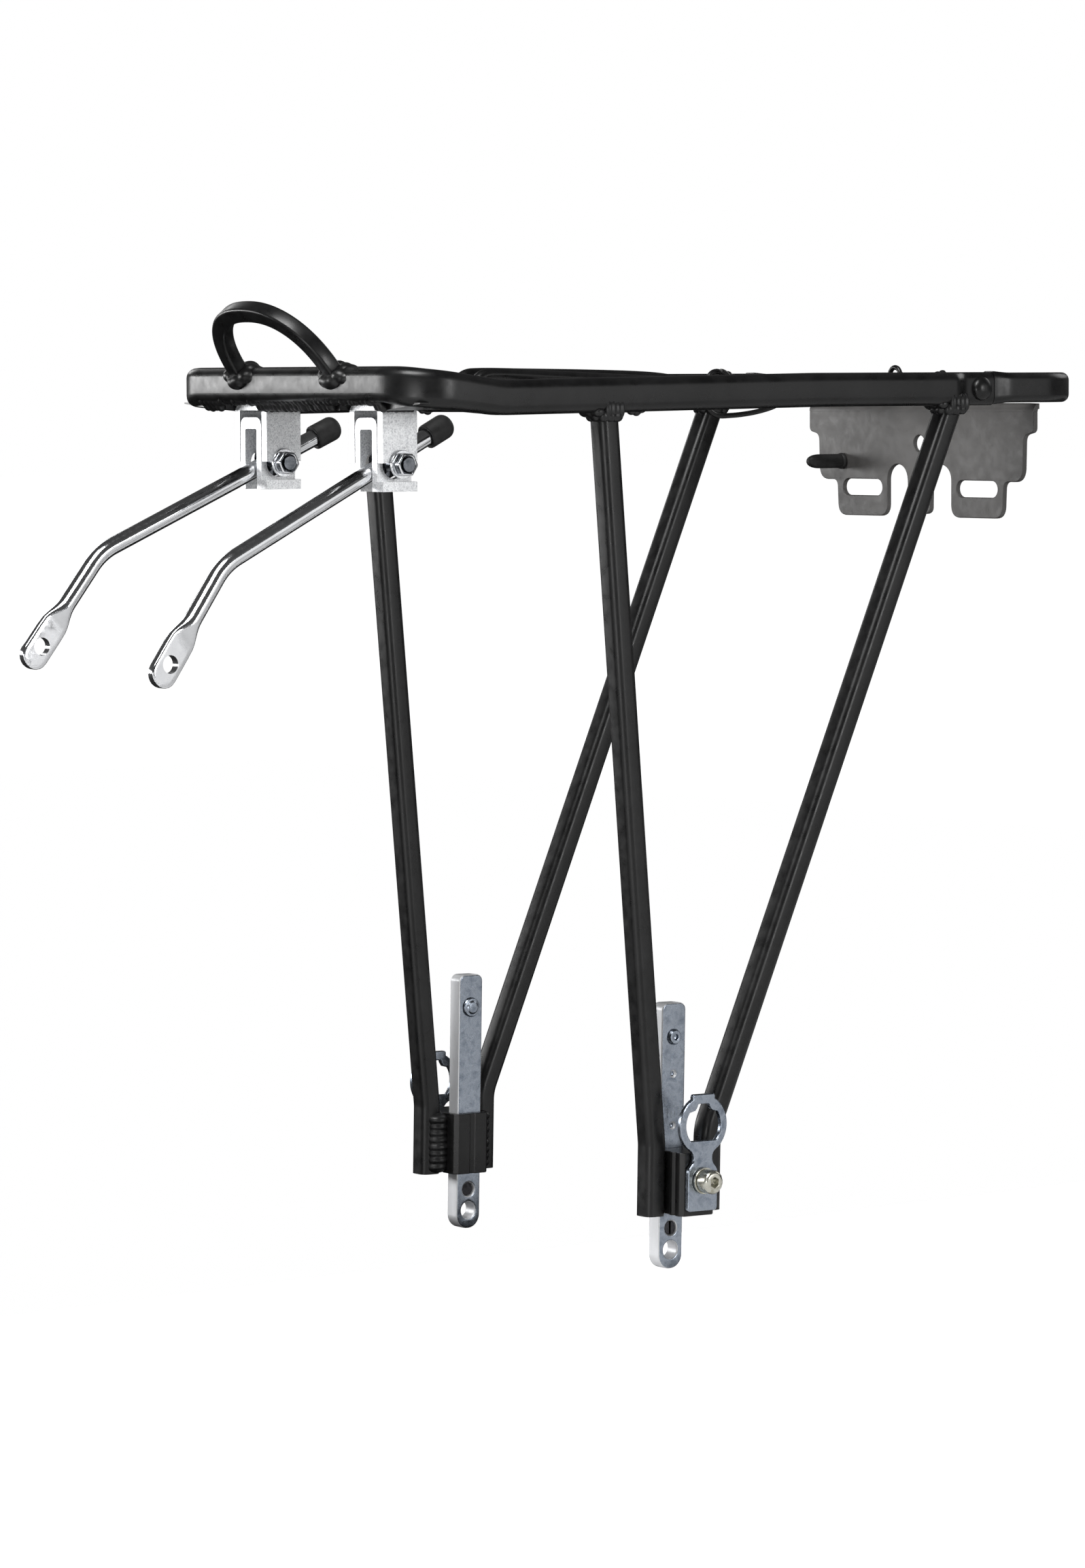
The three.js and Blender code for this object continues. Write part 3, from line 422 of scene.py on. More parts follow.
def tube_along(line, radius, sides):
    """A round wire through the points, with its frame carried along without twist."""
    normal = (line[1] - line[0]).orthogonal()
    verts = []
    last = len(line) - 1
    for i, at in enumerate(line):
        tangent = (line[min(last, i + 1)] - line[max(0, i - 1)]).normalized()
        normal = (normal - tangent * normal.dot(tangent)).normalized()
        side = tangent.cross(normal)
        verts += [at + (normal * math.cos(a) + side * math.sin(a)) * radius for a in around(sides)]
    return verts, tube_faces(len(line), sides)


def hollow_barrel(ring, steps):
    """A closed ring profile of (x, radius) points turned round the local X axis."""
    verts = [Vector((x, r * math.cos(a), r * math.sin(a))) for x, r in ring for a in around(steps)]
    faces = []
    count = len(ring)
    for k in range(count):
        for i in range(steps):
            j = (i + 1) % steps
            n = (k + 1) % count
            faces.append([k * steps + i, k * steps + j, n * steps + j, n * steps + i])
    return verts, faces


def to_mesh(work, name):
    mesh = bpy.data.meshes.new(name)
    work.to_mesh(mesh)
    work.free()
    return mesh


def turn(verts, matrix):
    return [matrix @ v for v in verts]


def move_to(x, y, z):
    return Matrix.Translation((x, y, z))


def arc(cx, cy, radius, start, end, steps=10):
    span = [math.radians(start + (end - start) * i / steps) for i in range(steps + 1)]
    return [(cx + radius * math.cos(a), cy + radius * math.sin(a)) for a in span]


def quad(a, b, c, steps=8):
    """A quadratic Bezier curve."""
    points = []
    for t in [i / steps for i in range(steps + 1)]:
        points.append(tuple((1 - t) ** 2 * a[k] + 2 * t * (1 - t) * b[k] + t * t * c[k] for k in (0, 1)))
    return points


def cubic(a, b, c, d, steps=10):
    """A cubic Bezier curve."""
    points = []
    for t in [i / steps for i in range(steps + 1)]:
        wa, wb, wc, wd = (1 - t) ** 3, 3 * t * (1 - t) ** 2, 3 * t * t * (1 - t), t**3
        points.append(tuple(wa * a[k] + wb * b[k] + wc * c[k] + wd * d[k] for k in (0, 1)))
    return points


def without_repeats(points):
    """The points, less each that lies on the one before it."""
    return [p for i, p in enumerate(points) if i == 0 or math.dist(p, points[i - 1]) > 0.02]


def upright(y):
    """Takes a sheet's own x, y and thickness to X, Z and -Y, in the plane at y."""
    return Matrix(((1, 0, 0, 0), (0, 0, -1, y), (0, 1, 0, 0), (0, 0, 0, 1)))


TO_ROW = Matrix.Translation(ORIGIN) @ Matrix.Scale(MM, 4)


def sheet_mesh(name, outlines, thick, bevel, basis):
    """A flat piece with rounded edges, from an outline and its holes in millimetres.

    basis takes the sheet's own x, y and thickness to the platform frame."""
    curve = bpy.data.curves.new(name, "CURVE")
    curve.dimensions = "2D"
    curve.fill_mode = "BOTH"
    curve.extrude = thick / 2 - bevel
    curve.bevel_depth = bevel
    curve.bevel_resolution = 2
    curve.offset = -bevel
    for outline in outlines:
        line = curve.splines.new("POLY")
        line.points.add(len(outline) - 1)
        for point, (x, y) in zip(line.points, outline):
            point.co = (x, y, 0, 1)
        line.use_cyclic_u = True
    holder = bpy.data.objects.new(name + "_outline", curve)
    mesh = bpy.data.meshes.new_from_object(holder)
    bpy.data.objects.remove(holder)
    bpy.data.curves.remove(curve)
    mesh.transform(basis)
    mesh.transform(TO_ROW)
    return mesh


def carve(mesh, cutters):
    """The mesh less each cutter mesh."""
    obj = bpy.data.objects.new("carving", mesh)
    bpy.context.scene.collection.objects.link(obj)
    tools = []
    for cutter in cutters:
        tool = bpy.data.objects.new("cutter", cutter)
        bpy.context.scene.collection.objects.link(tool)
        tools.append(tool)
        step = obj.modifiers.new("cut", "BOOLEAN")
        step.operation = "DIFFERENCE"
        step.solver = "EXACT"
        step.object = tool
    graph = bpy.context.evaluated_depsgraph_get()
    out = bpy.data.meshes.new_from_object(obj.evaluated_get(graph))
    for thing in [obj, *tools]:
        bpy.data.objects.remove(thing)
    return out


BEAD_VOXEL = 0.4


def bead_mesh(points, size, seed, shape=(1, 1, 0.8), smooth=2, spin=None, uneven=0.1):
    """A run of overlapping weld ripples through the points, in the row frame."""
    rand = random.Random(seed)
    work = bmesh.new()
    for point in points:
        r = size * rand.uniform(1 - uneven, 1 + uneven)
        shift = Vector([rand.uniform(-uneven, uneven) * size for _ in range(3)])
        at = place(Vector(point) + shift)
        form = Matrix.Diagonal([r * MM * k for k in shape] + [1])
        if spin is not None:
            form = spin @ form
        matrix = Matrix.Translation(at) @ form
        bmesh.ops.create_icosphere(work, subdivisions=3, radius=1, matrix=matrix)
    obj = bpy.data.objects.new("beads", to_mesh(work, "beads"))
    bpy.context.scene.collection.objects.link(obj)
    remesh = obj.modifiers.new("join", "REMESH")
    remesh.mode = "VOXEL"
    remesh.voxel_size = BEAD_VOXEL * MM
    soften = obj.modifiers.new("soften", "SMOOTH")
    soften.iterations = smooth
    graph = bpy.context.evaluated_depsgraph_get()
    out = bpy.data.meshes.new_from_object(obj.evaluated_get(graph))
    bpy.data.objects.remove(obj)
    return out


def weld(name, points, size, seed, body="frame", **look):
    dress(bead_mesh(points, size, seed, **look), name, body, [WELD], angle=180)


def dress_cad(node, mat, bevel, edge=None):
    """A CAD node that stays: rounded edges, smooth shading and its finish."""
    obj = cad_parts[node]
    obj.data.materials.clear()
    obj.data.materials.append(mat)
    if edge is not None:
        obj.data.materials.append(edge)
    obj.data.polygons.foreach_set("use_smooth", [True] * len(obj.data.polygons))
    obj.data.polygons.foreach_set("material_index", [0] * len(obj.data.polygons))
    join = obj.modifiers.new("join", "WELD")
    join.merge_threshold = 2e-6
    rounding = obj.modifiers.new("rounding", "BEVEL")
    rounding.width = bevel * MM
    rounding.segments = 2
    rounding.limit_method = "ANGLE"
    rounding.angle_limit = math.radians(38)
    rounding.use_clamp_overlap = True
    if edge is not None:
        rounding.material = 1
    obj.modifiers.new("normals", "WEIGHTED_NORMAL").keep_sharp = True


# ---------- platform ----------
def smoothstep(x, low, high):
    """0 up to low, 1 from high on, and a smooth step between them."""
    t = min(1, max(0, (x - low) / (high - low)))
    return t * t * (3 - 2 * t)


def platform():
    """The bent tube, its rails pressed flat at their ends, with a slight sag under its corners."""

    def rail(side):
        y = side * RAIL_Y
        xs = [RAIL_END_X, 174, 170, 166, 164, 163, 162, 161, 160, 159, 158, 157, 156, 154]
        ends = [(x, y, RAIL_Z) for x in xs]
        return ends + [(LEVEL_X, y, RAIL_Z, 90, 6), (DIP_X, y, DIP_Z, 46, 12)]

    corner = (14, 18)
    front = [(FRONT_X, side * RAIL_Y, FRONT_Z, *corner) for side, _ in SIDES]
    route = rounded_route(rail(-1) + front + rail(1)[::-1])
    verts, faces = sweep(rounded_rect(TUBE, TUBE, 3.4, 6), route, (0, 0, 1))
    for v in verts:
        share = smoothstep(v.x, 156.5, 163.5)
        side = 1 if v.y > 0 else -1
        v.y = side * RAIL_Y + (v.y - side * RAIL_Y) * (1 - share * (TUBE - PRESSED) / TUBE)
        sag = math.exp(-(((abs(v.y) - 66) / 9) ** 2)) * (1 - smoothstep(v.x, -74, -52))
        if v.z < FRONT_Z:
            v.z -= 1.3 * sag * smoothstep(FRONT_Z - v.z, 0, 5)
    make("platform_tube", verts, faces, "frame", BLACK, ["platform_loop"])


def rear_loop():
    """The loop behind the rails, as narrow and tall as their pressed ends where it meets them."""
    xs = [RAIL_END_X + GAP, 178, 179.3, 180.6, 182, 183.4, 185]
    left = [(x, -RAIL_Y, LOOP_Z) for x in xs]
    right = [(x, RAIL_Y, LOOP_Z) for x in xs][::-1]
    corner = (20.7, 20)
    back = [(LOOP_X, side * RAIL_Y, LOOP_Z, *corner) for side, _ in SIDES]
    route = rounded_route(left + back + right)
    verts, faces = sweep(rounded_rect(LOOP_WIDE, LOOP_TALL, 2.8, 7), route, (0, 0, 1))
    for v in verts:
        share = 1 - smoothstep(v.x, RAIL_END_X, 184.5)
        side = 1 if v.y > 0 else -1
        v.y = side * RAIL_Y + (v.y - side * RAIL_Y) * (1 - share * (1 - PRESSED / LOOP_WIDE))
        v.z = LOOP_Z + (v.z - LOOP_Z) * (1 + share * (TUBE / LOOP_TALL - 1))
    make("loop_tube", verts, faces, "frame", BLACK, ["rear_loop"])


def rail_rivets():
    quarter = [math.radians(9 * i) for i in range(10)]
    dome = [(3.8 + 2.5 * math.sin(a), 4.3 * math.cos(a)) for a in quarter]
    verts, faces = lathe([(3.2, 0), (3.2, 4.3)] + dome + [(6.3, 0)])
    for side, name in SIDES:
        for way, part in ((1, "outer"), (-1, "inner")):
            spin = Matrix.Rotation(math.radians(90 * side * way), 4, "Z")
            head = turn(verts, move_to(RIVET_X, side * RAIL_Y, RAIL_Z) @ spin)
            swap = [f"rail_rivet_{name}"] if way == 1 else ()
            make(f"rail_rivet_{part}_{name}", head, faces, "frame", BLACK, swap)


def ties():
    bars = (
        ("front_tie", FRONT_TIE_X, FRONT_TIE_Z, 4.75, True),
        ("rear_tie", REAR_TIE_X, REAR_TIE_Z, 5.2, True),
        ("flap_hinge_rod", HINGE_X, HINGE_Z, 2.2, False),
    )
    half = RAIL_Y - TUBE / 2 - GAP
    for name, x, z, r, welded in bars:
        verts, faces = sweep(circle(r, 36), [Vector((x, -half, z)), Vector((x, half, z))], (0, 0, 1))
        make(name + "_tube", verts, faces, "frame", BLACK, [name])
        for side, end in SIDES if welded else ():
            y = side * (half - 0.3)
            ring = [(x + r * math.cos(a), y, z + r * math.sin(a)) for a in around(13)]
            weld(f"{name}_weld_{end}", ring, 1.5, 11 * side + int(x))


# ---------- front hoop ----------
def hoop_point(y, height):
    """A point in the hoop's leaning plane."""
    x = HOOP_X - height * math.sin(HOOP_LEAN)
    return Vector((x, y, HOOP_Z + height * math.cos(HOOP_LEAN)))


def front_hoop():
    rise, power, root = 27.6, 2.3, -1.6
    route = [hoop_point(HOOP_HALF, root)]
    steps = 56
    for i in range(steps + 1):
        a = math.pi * i / steps
        c, s = math.cos(a), math.sin(a)
        y = HOOP_HALF * math.copysign(abs(c) ** (2 / power), c)
        route.append(hoop_point(y, rise * abs(s) ** (2 / power)))
    route.append(hoop_point(-HOOP_HALF, root))
    normal = (math.cos(HOOP_LEAN), 0, math.sin(HOOP_LEAN))
    verts, faces = sweep(rounded_rect(6, 5.6, 1.1, 4), route, normal)
    make("front_hoop_bar", verts, faces, "frame", BLACK, ["front_hoop"])
    for side, name in SIDES:
        foot = Vector((HOOP_X, side * HOOP_HALF, 6))
        lumps = [(1.8, -3.6, 1.6), (1.6, 3.4, 1.6), (-0.6, 4.4, 0), (-0.6, -4.4, 0)]
        lumps += [(-1.4, -2, -1.6), (-1.4, 2, -1.6), (3, -1.6, 2.4), (3, 1.8, 2.4)]
        lumps += [(2.6, -6.2, 0.4), (0.4, -6.4, -0.8), (-1.6, 0.2, -2.2), (4.2, -4, 1)]
        weld(f"hoop_weld_{name}", [foot + Vector(p) for p in lumps], 3.3, 40 + side, smooth=9)


# ---------- legs ----------
# the top's x and z, the knee's x and z, and the height of the cut under the rail
LEG_ROUTES = {
    "front": ((-0.4, 0.0), (21, -262), -7.2),
    "rear": ((160.4, 0.0), (46, -258.5), -6),
}


def leg(side, name, end):
    (top_x, top_z), (knee_x, knee_z), under = LEG_ROUTES[end]
    y, foot_y = side * RAIL_Y, side * LEG_Y
    share = (under - top_z) / (knee_z - top_z)
    start = Vector((top_x, y, top_z)).lerp(Vector((knee_x, foot_y, knee_z)), share)
    foot_x = knee_x - (knee_z - LEG_END_Z) * math.tan(FOOT_LEAN)
    route = rounded_route([tuple(start), (knee_x, foot_y, knee_z, 18, 12), (foot_x, foot_y, LEG_END_Z)])
    verts, faces = sweep(rounded_rect(8.3, 8.3, 2.6, 5), route, (0, 1, 0))
    make(f"{end}_leg_tube_{name}", verts, faces, "frame", BLACK, [f"{end}_leg_{name}"])
    slope = math.hypot(1, (knee_x - top_x) / (knee_z - top_z))
    around_top = [(4.7 * math.cos(a), 4.7 * math.sin(a)) for a in around(11)]
    ring = [(start.x + dx * slope, y + dy, under - 0.9) for dx, dy in around_top]
    look = dict(shape=(1, 1, 1.2), smooth=7, uneven=0.05)
    weld(f"{end}_leg_weld_{name}", ring, 2.0, 70 + side + len(end), **look)
    look = dict(shape=(0.6, 0.7, 1.45), smooth=4, uneven=0.03)
    for way, face in ((1, "outer"), (-1, "inner")):
        ripples = [(start.x + (1.9 * i - 2.2) * slope, y + way * 4.9, under + 1.4) for i in range(4)]
        weld(f"{end}_leg_ripples_{face}_{name}", ripples, 2.4, 300 + side + way + len(end), **look)
    lump = [(start.x - 5.2 * slope, y + d, under + 0.6) for d in (-3.2, 0, 3.2)]
    weld(f"{end}_leg_lump_{name}", lump, 2.7, 400 + side + len(end), smooth=12)


# ---------- spring flap ----------
def flap():
    """A wire hairpin that hooks down at its tip, welded to a sleeve on the hinge rod."""
    tip_x, tip_z, apart = -9.6, 0.6, 5.3
    right = [(HINGE_X, 2.2), (86, 3.8), (75, 4.7), (52, 5.4), (20, 5.9), (0, 6.1), (-5.4, 5.2)]
    left = [(-5.4, 5.2), (0, 6), (20, 5.3), (52, 3.9), (HINGE_X, 2.2)]
    under = [(tip_x - 0.6, apart * math.cos(a), tip_z - 3.4 * math.sin(a))
             for a in (math.pi / 4, math.pi / 2, 3 * math.pi / 4)]
    points = [(x, apart, z) for x, z in right + [(tip_x, tip_z)]] + under
    points += [(x, -apart, z) for x, z in [(tip_x, tip_z)] + left]
    line = spline(points, 8)
    verts, faces = tube_along(line, 2.35, 16)
    make("flap_wire", verts, faces, "flap", BLACK, ["spring_flap"])
    ring = [(-9, 2.7), (-9, 3.2), (-8.6, 3.7), (8.6, 3.7), (9, 3.2), (9, 2.7)]
    verts, faces = hollow_barrel(ring, 28)
    verts = turn(verts, move_to(HINGE_X, 0, HINGE_Z) @ Matrix.Rotation(math.pi / 2, 4, "Z"))
    make("flap_sleeve", verts, faces, "flap", BLACK)
    for side, name in SIDES:
        y = side * apart
        spots = [(HINGE_X - 2.8 + 0.6 * i, y + (i - 1) * 1.2, 4.4 - 0.3 * i) for i in range(3)]
        weld(f"flap_weld_{name}", spots, 1.5, 90 + side, body="flap")


def flap_spring():
    """A wire coiled round the hinge rod, whose free end runs back under the platform."""
    coil, pitch, turns, first_y = 4.9, 2.3, 1.5, -12.6
    steps = 60
    line = []
    for i in range(steps + 1):
        a = i / steps * turns * math.tau
        y = first_y + i / steps * pitch * turns - pitch
        line.append(Vector((HINGE_X + coil * math.sin(a), y, HINGE_Z + coil * math.cos(a))))
    y = line[-1].y
    run = [(90.6, -3.4), (92.4, -7), (96, -9), (102, -9.1)]
    run += [(109, -8.6), (116, -7.6), (123, -5.9), (130, -3)]
    line += spline([tuple(line[-1])] + [(x, y, z) for x, z in run], 5)[1:]
    verts, faces = tube_along(line, 0.95, 12)
    make("flap_spring_wire", verts, faces, "frame", BLACK, ["flap_spring"])


def strap_staple():
    y, half, wire, rise, root = -36, 2.8, 0.9, 8.9, 5.6
    x, crown = REAR_TIE_X, rise - wire - half
    half_turn = [math.pi * i / 18 for i in range(19)]
    arch = [Vector((x, y + half * math.cos(a), crown + half * math.sin(a))) for a in half_turn]
    line = [Vector((x, y + half, root))] + arch + [Vector((x, y - half, root))]
    verts, faces = tube_along(line, wire, 14)
    make("strap_staple_wire", verts, faces, "frame", BLACK, ["strap_staple"])
    for side, name in SIDES:
        spots = [(x, y + side * half + d, 5.5) for d in (-0.6, 0, 0.6)]
        weld(f"staple_weld_{name}", spots, 1.2, 30 + side)


# ---------- light plate ----------
def light_plate_outline():
    """(y, z) round the face, from the right half mirrored."""
    half = [(0, -8.0), (63, -8.0)] + quad((63, -8), (63.8, -8), (63.8, -9)) + [(63.8, -14.2)]
    half += quad((63.8, -14.2), (63.8, -16), (62, -16.3))
    half += quad((60.6, -16.6), (58.3, -17), (58.2, -19.5)) + [(57.9, -29.6)]
    half += quad((57.9, -29.6), (57.4, -34.2), (53, -34.3)) + [(49.6, -34.3)]
    half += quad((49.6, -34.3), (47.3, -34.5), (47.2, -37.2)) + [(46.9, -43.5)]
    half += quad((46.9, -43.5), (46.6, -47.8), (42.2, -47.9)) + [(22.8, -47.9)]
    half += quad((22.8, -47.9), (18.2, -47.8), (18, -43.5)) + [(18, -34)]
    half += arc(12.3, -34, 5.7, 0, 90, 12) + cubic((12.3, -28.3), (8.8, -28.3), (6.6, -31), (6.6, -35))
    half += [(6.4, -44.4)] + quad((6.4, -44.4), (6.2, -46.6), (3.4, -46.8)) + [(0, -46.8)]
    clean = without_repeats(half)
    return clean + [(-y, z) for y, z in clean[::-1] if y > 0.01]


def light_plate():
    """The face with its slots, and the flange bent back over it, tapered towards its ends."""
    holes = [slot_outline(SLOT_Y), slot_outline(-SLOT_Y), arc(0, -20.4, 3.1, 360, 0, 32)[:-1]]
    basis = Matrix(((0, 0, 1, PLATE_X), (1, 0, 0, 0), (0, 1, 0, 0), (0, 0, 0, 1)))
    face = sheet_mesh("light_face", [light_plate_outline()] + holes, PLATE_THICK, 0.35, basis)
    # the face wears the coat painted lighter grey as painted light
    dress(face, "light_plate_face", "frame", [PAINTED_LIGHT_GREY_COAT], ["light_plate"], flat=True)
    front, back, bend_x, bend_z = 203, 205, 205.6, -8.0
    fold = [(front, -8.4), (back, -8.4), (back, bend_z)]
    fold += arc(bend_x, bend_z, 0.6, 180, 90, 5)[1:] + [(225.3, -7.4), (225.3, -5.4)]
    fold += arc(bend_x, bend_z, 2.6, 90, 180, 8)
    wide, full, narrowest = 63.7, 37, 205.8
    verts = [Vector((x, y, z)) for y in (-wide, -full, full, wide) for x, z in fold]
    count = len(fold)
    for v in verts:
        if abs(v.y) > full:
            v.x = min(v.x, narrowest)
    faces = [list(range(count)), [3 * count + i for i in range(count)][::-1]]
    for r in range(3):
        for i in range(count):
            j = (i + 1) % count
            faces.append([r * count + i, (r + 1) * count + i, (r + 1) * count + j, r * count + j])
    # the flange wears the same coat painted lighter grey as painted light
    make("light_plate_flange", verts, faces, "frame", PAINTED_LIGHT_GREY_COAT)


def slot_outline(y):
    half, radius = 11.3, 3.1
    reach = half - radius
    right = arc(y + reach, SLOT_Z, radius, 90, -90, 12)
    return right + arc(y - reach, SLOT_Z, radius, 270, 90, 12)


def pump_peg():
    """A round-ended pin ahead of the light plate, and the flat head of its rivet behind it."""
    base_x = PLATE_X - PLATE_THICK / 2 - GAP
    long = base_x - 185.6
    nose = 5.4
    profile = [(0, 0), (0, 3), (0.3, 3.1), (1, 3), (1.4, 2.7), (long - nose, 2.7)]
    for a in [math.radians(10 * i) for i in range(1, 9)]:
        profile.append((long - nose + nose * math.sin(a), 0.7 + 2 * math.cos(a)))
    profile.append((long, 0))
    verts, faces = lathe(profile)
    verts = turn(verts, move_to(base_x, PEG_Y, PEG_Z) @ Matrix.Rotation(math.pi, 4, "Z"))
    make("pump_peg_pin", verts, faces, "frame", RUBBER, ["pump_peg"])
    verts, faces = lathe([(0, 0), (0, 2.9), (0.5, 2.8), (1, 2), (1.1, 0)])
    verts = turn(verts, move_to(PLATE_X + PLATE_THICK / 2 + GAP, PEG_Y, PEG_Z))
    make("pump_peg_rivet", verts, faces, "frame", RUBBER)


# ---------- stays ----------
ROD_RADIUS = 3
ROD_DROP = math.radians(28.5)
ROD_CORNER = Vector((-75, 0, 0))
ROD_AHEAD = Vector((-math.cos(ROD_DROP), 0, -math.sin(ROD_DROP)))


def stay_matrix(side, name):
    """Takes a rod's own frame, from its eye bolt back along the rod, to the platform frame."""
    base = Vector((PIVOT_X, side * STAY_Y, PIVOT_Z))
    splay = Matrix.Rotation(math.radians(-side * STAY_SPLAY), 4, "Z")
    tilt = Matrix.Rotation(math.radians(-STAY_TILT[name]), 4, "Y")
    return Matrix.Translation(base) @ splay @ tilt


def rod_body():
    """The bent rod, its end pressed flat and rounded, before the eye is drilled."""
    flat_from, flat_full, round_from, tip = 22.5, 30.5, 42.9, 48.2
    eye_half_width, eye_half_thick = 5.2, 1.6
    stops = [14, 18, 21, 22.5, 24, 25.5, 27, 28.5, 30.5, 34, 38, 41, 43.2, 44.9, 46.2, 47.2, 47.8, 48.1]
    curve = bend(Vector((0, 0, 0)), ROD_CORNER, ROD_CORNER + ROD_AHEAD * 30, 22, 14)
    route = [Vector((28.5, 0, 0))] + curve + [ROD_CORNER + ROD_AHEAD * s for s in stops]
    verts = []
    sides = 32
    up = Vector((0, 1, 0))
    last = len(route) - 1
    for i, at in enumerate(route):
        tangent = (route[min(last, i + 1)] - route[max(0, i - 1)]).normalized()
        normal = up.cross(tangent).normalized()
        along = (at - ROD_CORNER).dot(ROD_AHEAD) if i > len(curve) else 0
        flat = smoothstep(along, flat_from, flat_full)
        widened = smoothstep(along, flat_from - 1, flat_full + 1.5)
        wide = ROD_RADIUS + (eye_half_width - ROD_RADIUS) * widened
        thick = ROD_RADIUS + (eye_half_thick - ROD_RADIUS) * flat
        if along > round_from:
            share = (along - round_from) / (tip - round_from)
            wide *= math.sqrt(max(0.0, 1 - share**2.4))
        power = max(0.3, 1 - 0.72 * flat)
        for a in around(sides):
            c, s = math.cos(a), math.sin(a)
            x = wide * math.copysign(abs(c) ** power, c)
            y = thick * math.copysign(abs(s) ** power, s)
            verts.append(at + normal * x + up * y)
    return verts, tube_faces(len(route), sides)


def stay_rod(side, name):
    """A polished rod, bent once, with a drilled eye, and the rubber cap on its rear end."""
    where = stay_matrix(side, name)
    verts, faces = rod_body()
    rod = placed_mesh("rod", [where @ v for v in verts], faces)
    hole = ROD_CORNER + ROD_AHEAD * 39.7
    verts, faces = sweep(circle(3.1, 32), [Vector((0, -6, 0)), Vector((0, 6, 0))], (0, 0, 1))
    drill = placed_mesh("drill", [where @ (v + hole) for v in verts], faces)
    for part in (rod, drill):
        work = bmesh.new()
        work.from_mesh(part)
        bmesh.ops.recalc_face_normals(work, faces=work.faces)
        work.to_mesh(part)
        work.free()
    body = f"stay_rod_{name}"
    bar = carve(rod, [drill])
    dress(bar, f"stay_bar_{name}", body, [POLISHED], [body], 50)
    dome_x, dome, radius = 28.6, 2.95, 4.37
    cap = [(20.9, 3.2), (20.7, 3.6), (20.7, 3.9), (21.0, 4.3), (21.5, radius), (dome_x, radius)]
    for a in [math.radians(10 * i) for i in range(1, 10)]:
        cap.append((dome_x + dome * math.sin(a), radius - dome + dome * math.cos(a)))
    verts, faces = lathe([(21.2, 0), (21.2, 3.2)] + cap + [(31.56, 0)], 36)
    verts = turn(verts, where)
    make(f"rod_cap_cover_{name}", verts, faces, body, RUBBER, [f"rod_cap_{name}"])


# ---------- feet ----------
RING_Z, RING_THICK = 20.9, 2

# takes a foot's own frame, which leans with its bar, to the platform frame
FOOT_FRAME = Matrix.Translation(FOOT) @ Matrix.Rotation(FOOT_LEAN, 4, "Y")


def bar_outline():
    """(x, z) round a foot bar: rounded corners above, a nearly round end below."""
    half, top, low = 5.25, 62.2, -31.6
    corner, end, apart = 2.6, 4.95, 0.3
    points = arc(half - corner, top - corner, corner, 0, 90)
    points += arc(-half + corner, top - corner, corner, 90, 180)
    points += arc(-apart, low + end, end, 180, 270, 12)
    return points + arc(apart, low + end, end, 270, 360, 12)


def ball(at, radius):
    """A cutter for a dimple, at a point in the foot's own frame."""
    work = bmesh.new()
    matrix = Matrix.Translation(place(FOOT_FRAME @ at))
    bmesh.ops.create_icosphere(work, subdivisions=3, radius=radius * MM, matrix=matrix)
    return to_mesh(work, "ball")


def block(size, at):
    """A cutter for a stroke, at a point in the foot's own frame."""
    work = bmesh.new()
    bmesh.ops.create_cube(work, size=1, matrix=Matrix.Diagonal((*size, 1)))
    mesh = to_mesh(work, "block")
    mesh.transform(FOOT_FRAME @ Matrix.Translation(at))
    mesh.transform(TO_ROW)
    return mesh


def foot_bar(side, name):
    """A flat bar with three holes and two dimples, and four strokes and a line for a scale."""
    holes = [arc(0, z, r, 360, 0, 32)[:-1] for r, z in ((3.1, -24.9), (2.6, -17.2), (2.2, 50.2))]
    basis = FOOT_FRAME @ upright(side * BAR_Y)
    mesh = sheet_mesh("bar", [bar_outline()] + holes, BAR_THICK, 0.6, basis)
    face = side * (BAR_Y + BAR_THICK / 2)
    cutters = [ball(Vector((0, face + side * 0.5, z)), 1.6) for z in (37.2, 19)]
    cutters.append(block((11, 0.5, 0.45), Vector((0, face, 26))))
    short, long = 2.2, 3.4
    for i in range(4):
        tall = short if i % 3 else long
        at = Vector((-2.4 + 1.6 * i, face, 22.9 + (tall - short) / 2))
        cutters.append(block((0.4, 0.36, tall), at))
    body = f"foot_bar_{name}"
    looks = [ZINC, SATIN_PAINTED_EDGE_HIGHLIGHT]
    bar = carve(mesh, cutters)
    strip = dress(bar, f"foot_bar_flat_{name}", body, looks, [body], 40, flat=True)
    # the edges take the lighter satin, a painted edge highlight
    for polygon in strip.data.polygons:
        polygon.material_index = int(abs(polygon.normal.y) < 0.8)


def ring_outline():
    """(x, z) round a strap ring: a foot, a neck and a round head with a blunt tip."""
    z, outer = RING_Z, 10.4
    low, high = 50, 62
    sharp = math.radians(low)
    right = [(5.1, -9.2)] + quad((5.1, -9.2), (6.5, -9.2), (6.5, -7.8)) + [(6.5, 4.2)]
    right += cubic((6.5, 4.2), (6.5, 6.8), (4.1, 6.6), (4.1, 9.6))
    right += quad((4.1, 9.6), (4.1, 11.6), (outer * math.cos(sharp), z - outer * math.sin(sharp)))
    right += arc(0, z, outer, -low, high, 24) + [(4.9, z + 9.9)]
    right += quad((4.9, z + 9.9), (4.9, z + 10.9), (3.9, z + 10.9))
    clean = without_repeats(right)
    return clean + [(-x, y) for x, y in clean[::-1]]


def ring_opening():
    """(x, z) round the ring's opening, flat below and notched above."""
    z, inner = RING_Z, 7.7
    low = math.degrees(math.asin(-5.4 / inner))
    high = math.degrees(math.asin(4.6 / inner))
    right = arc(0, z, inner, low, high, 18) + [(3.7, z + 5.2), (2.7, z + 6.6)]
    right += quad((2.7, z + 6.6), (2.7, z + 7.5), (1.8, z + 7.5), 4)
    return right + [(-x, y) for x, y in right[::-1]]


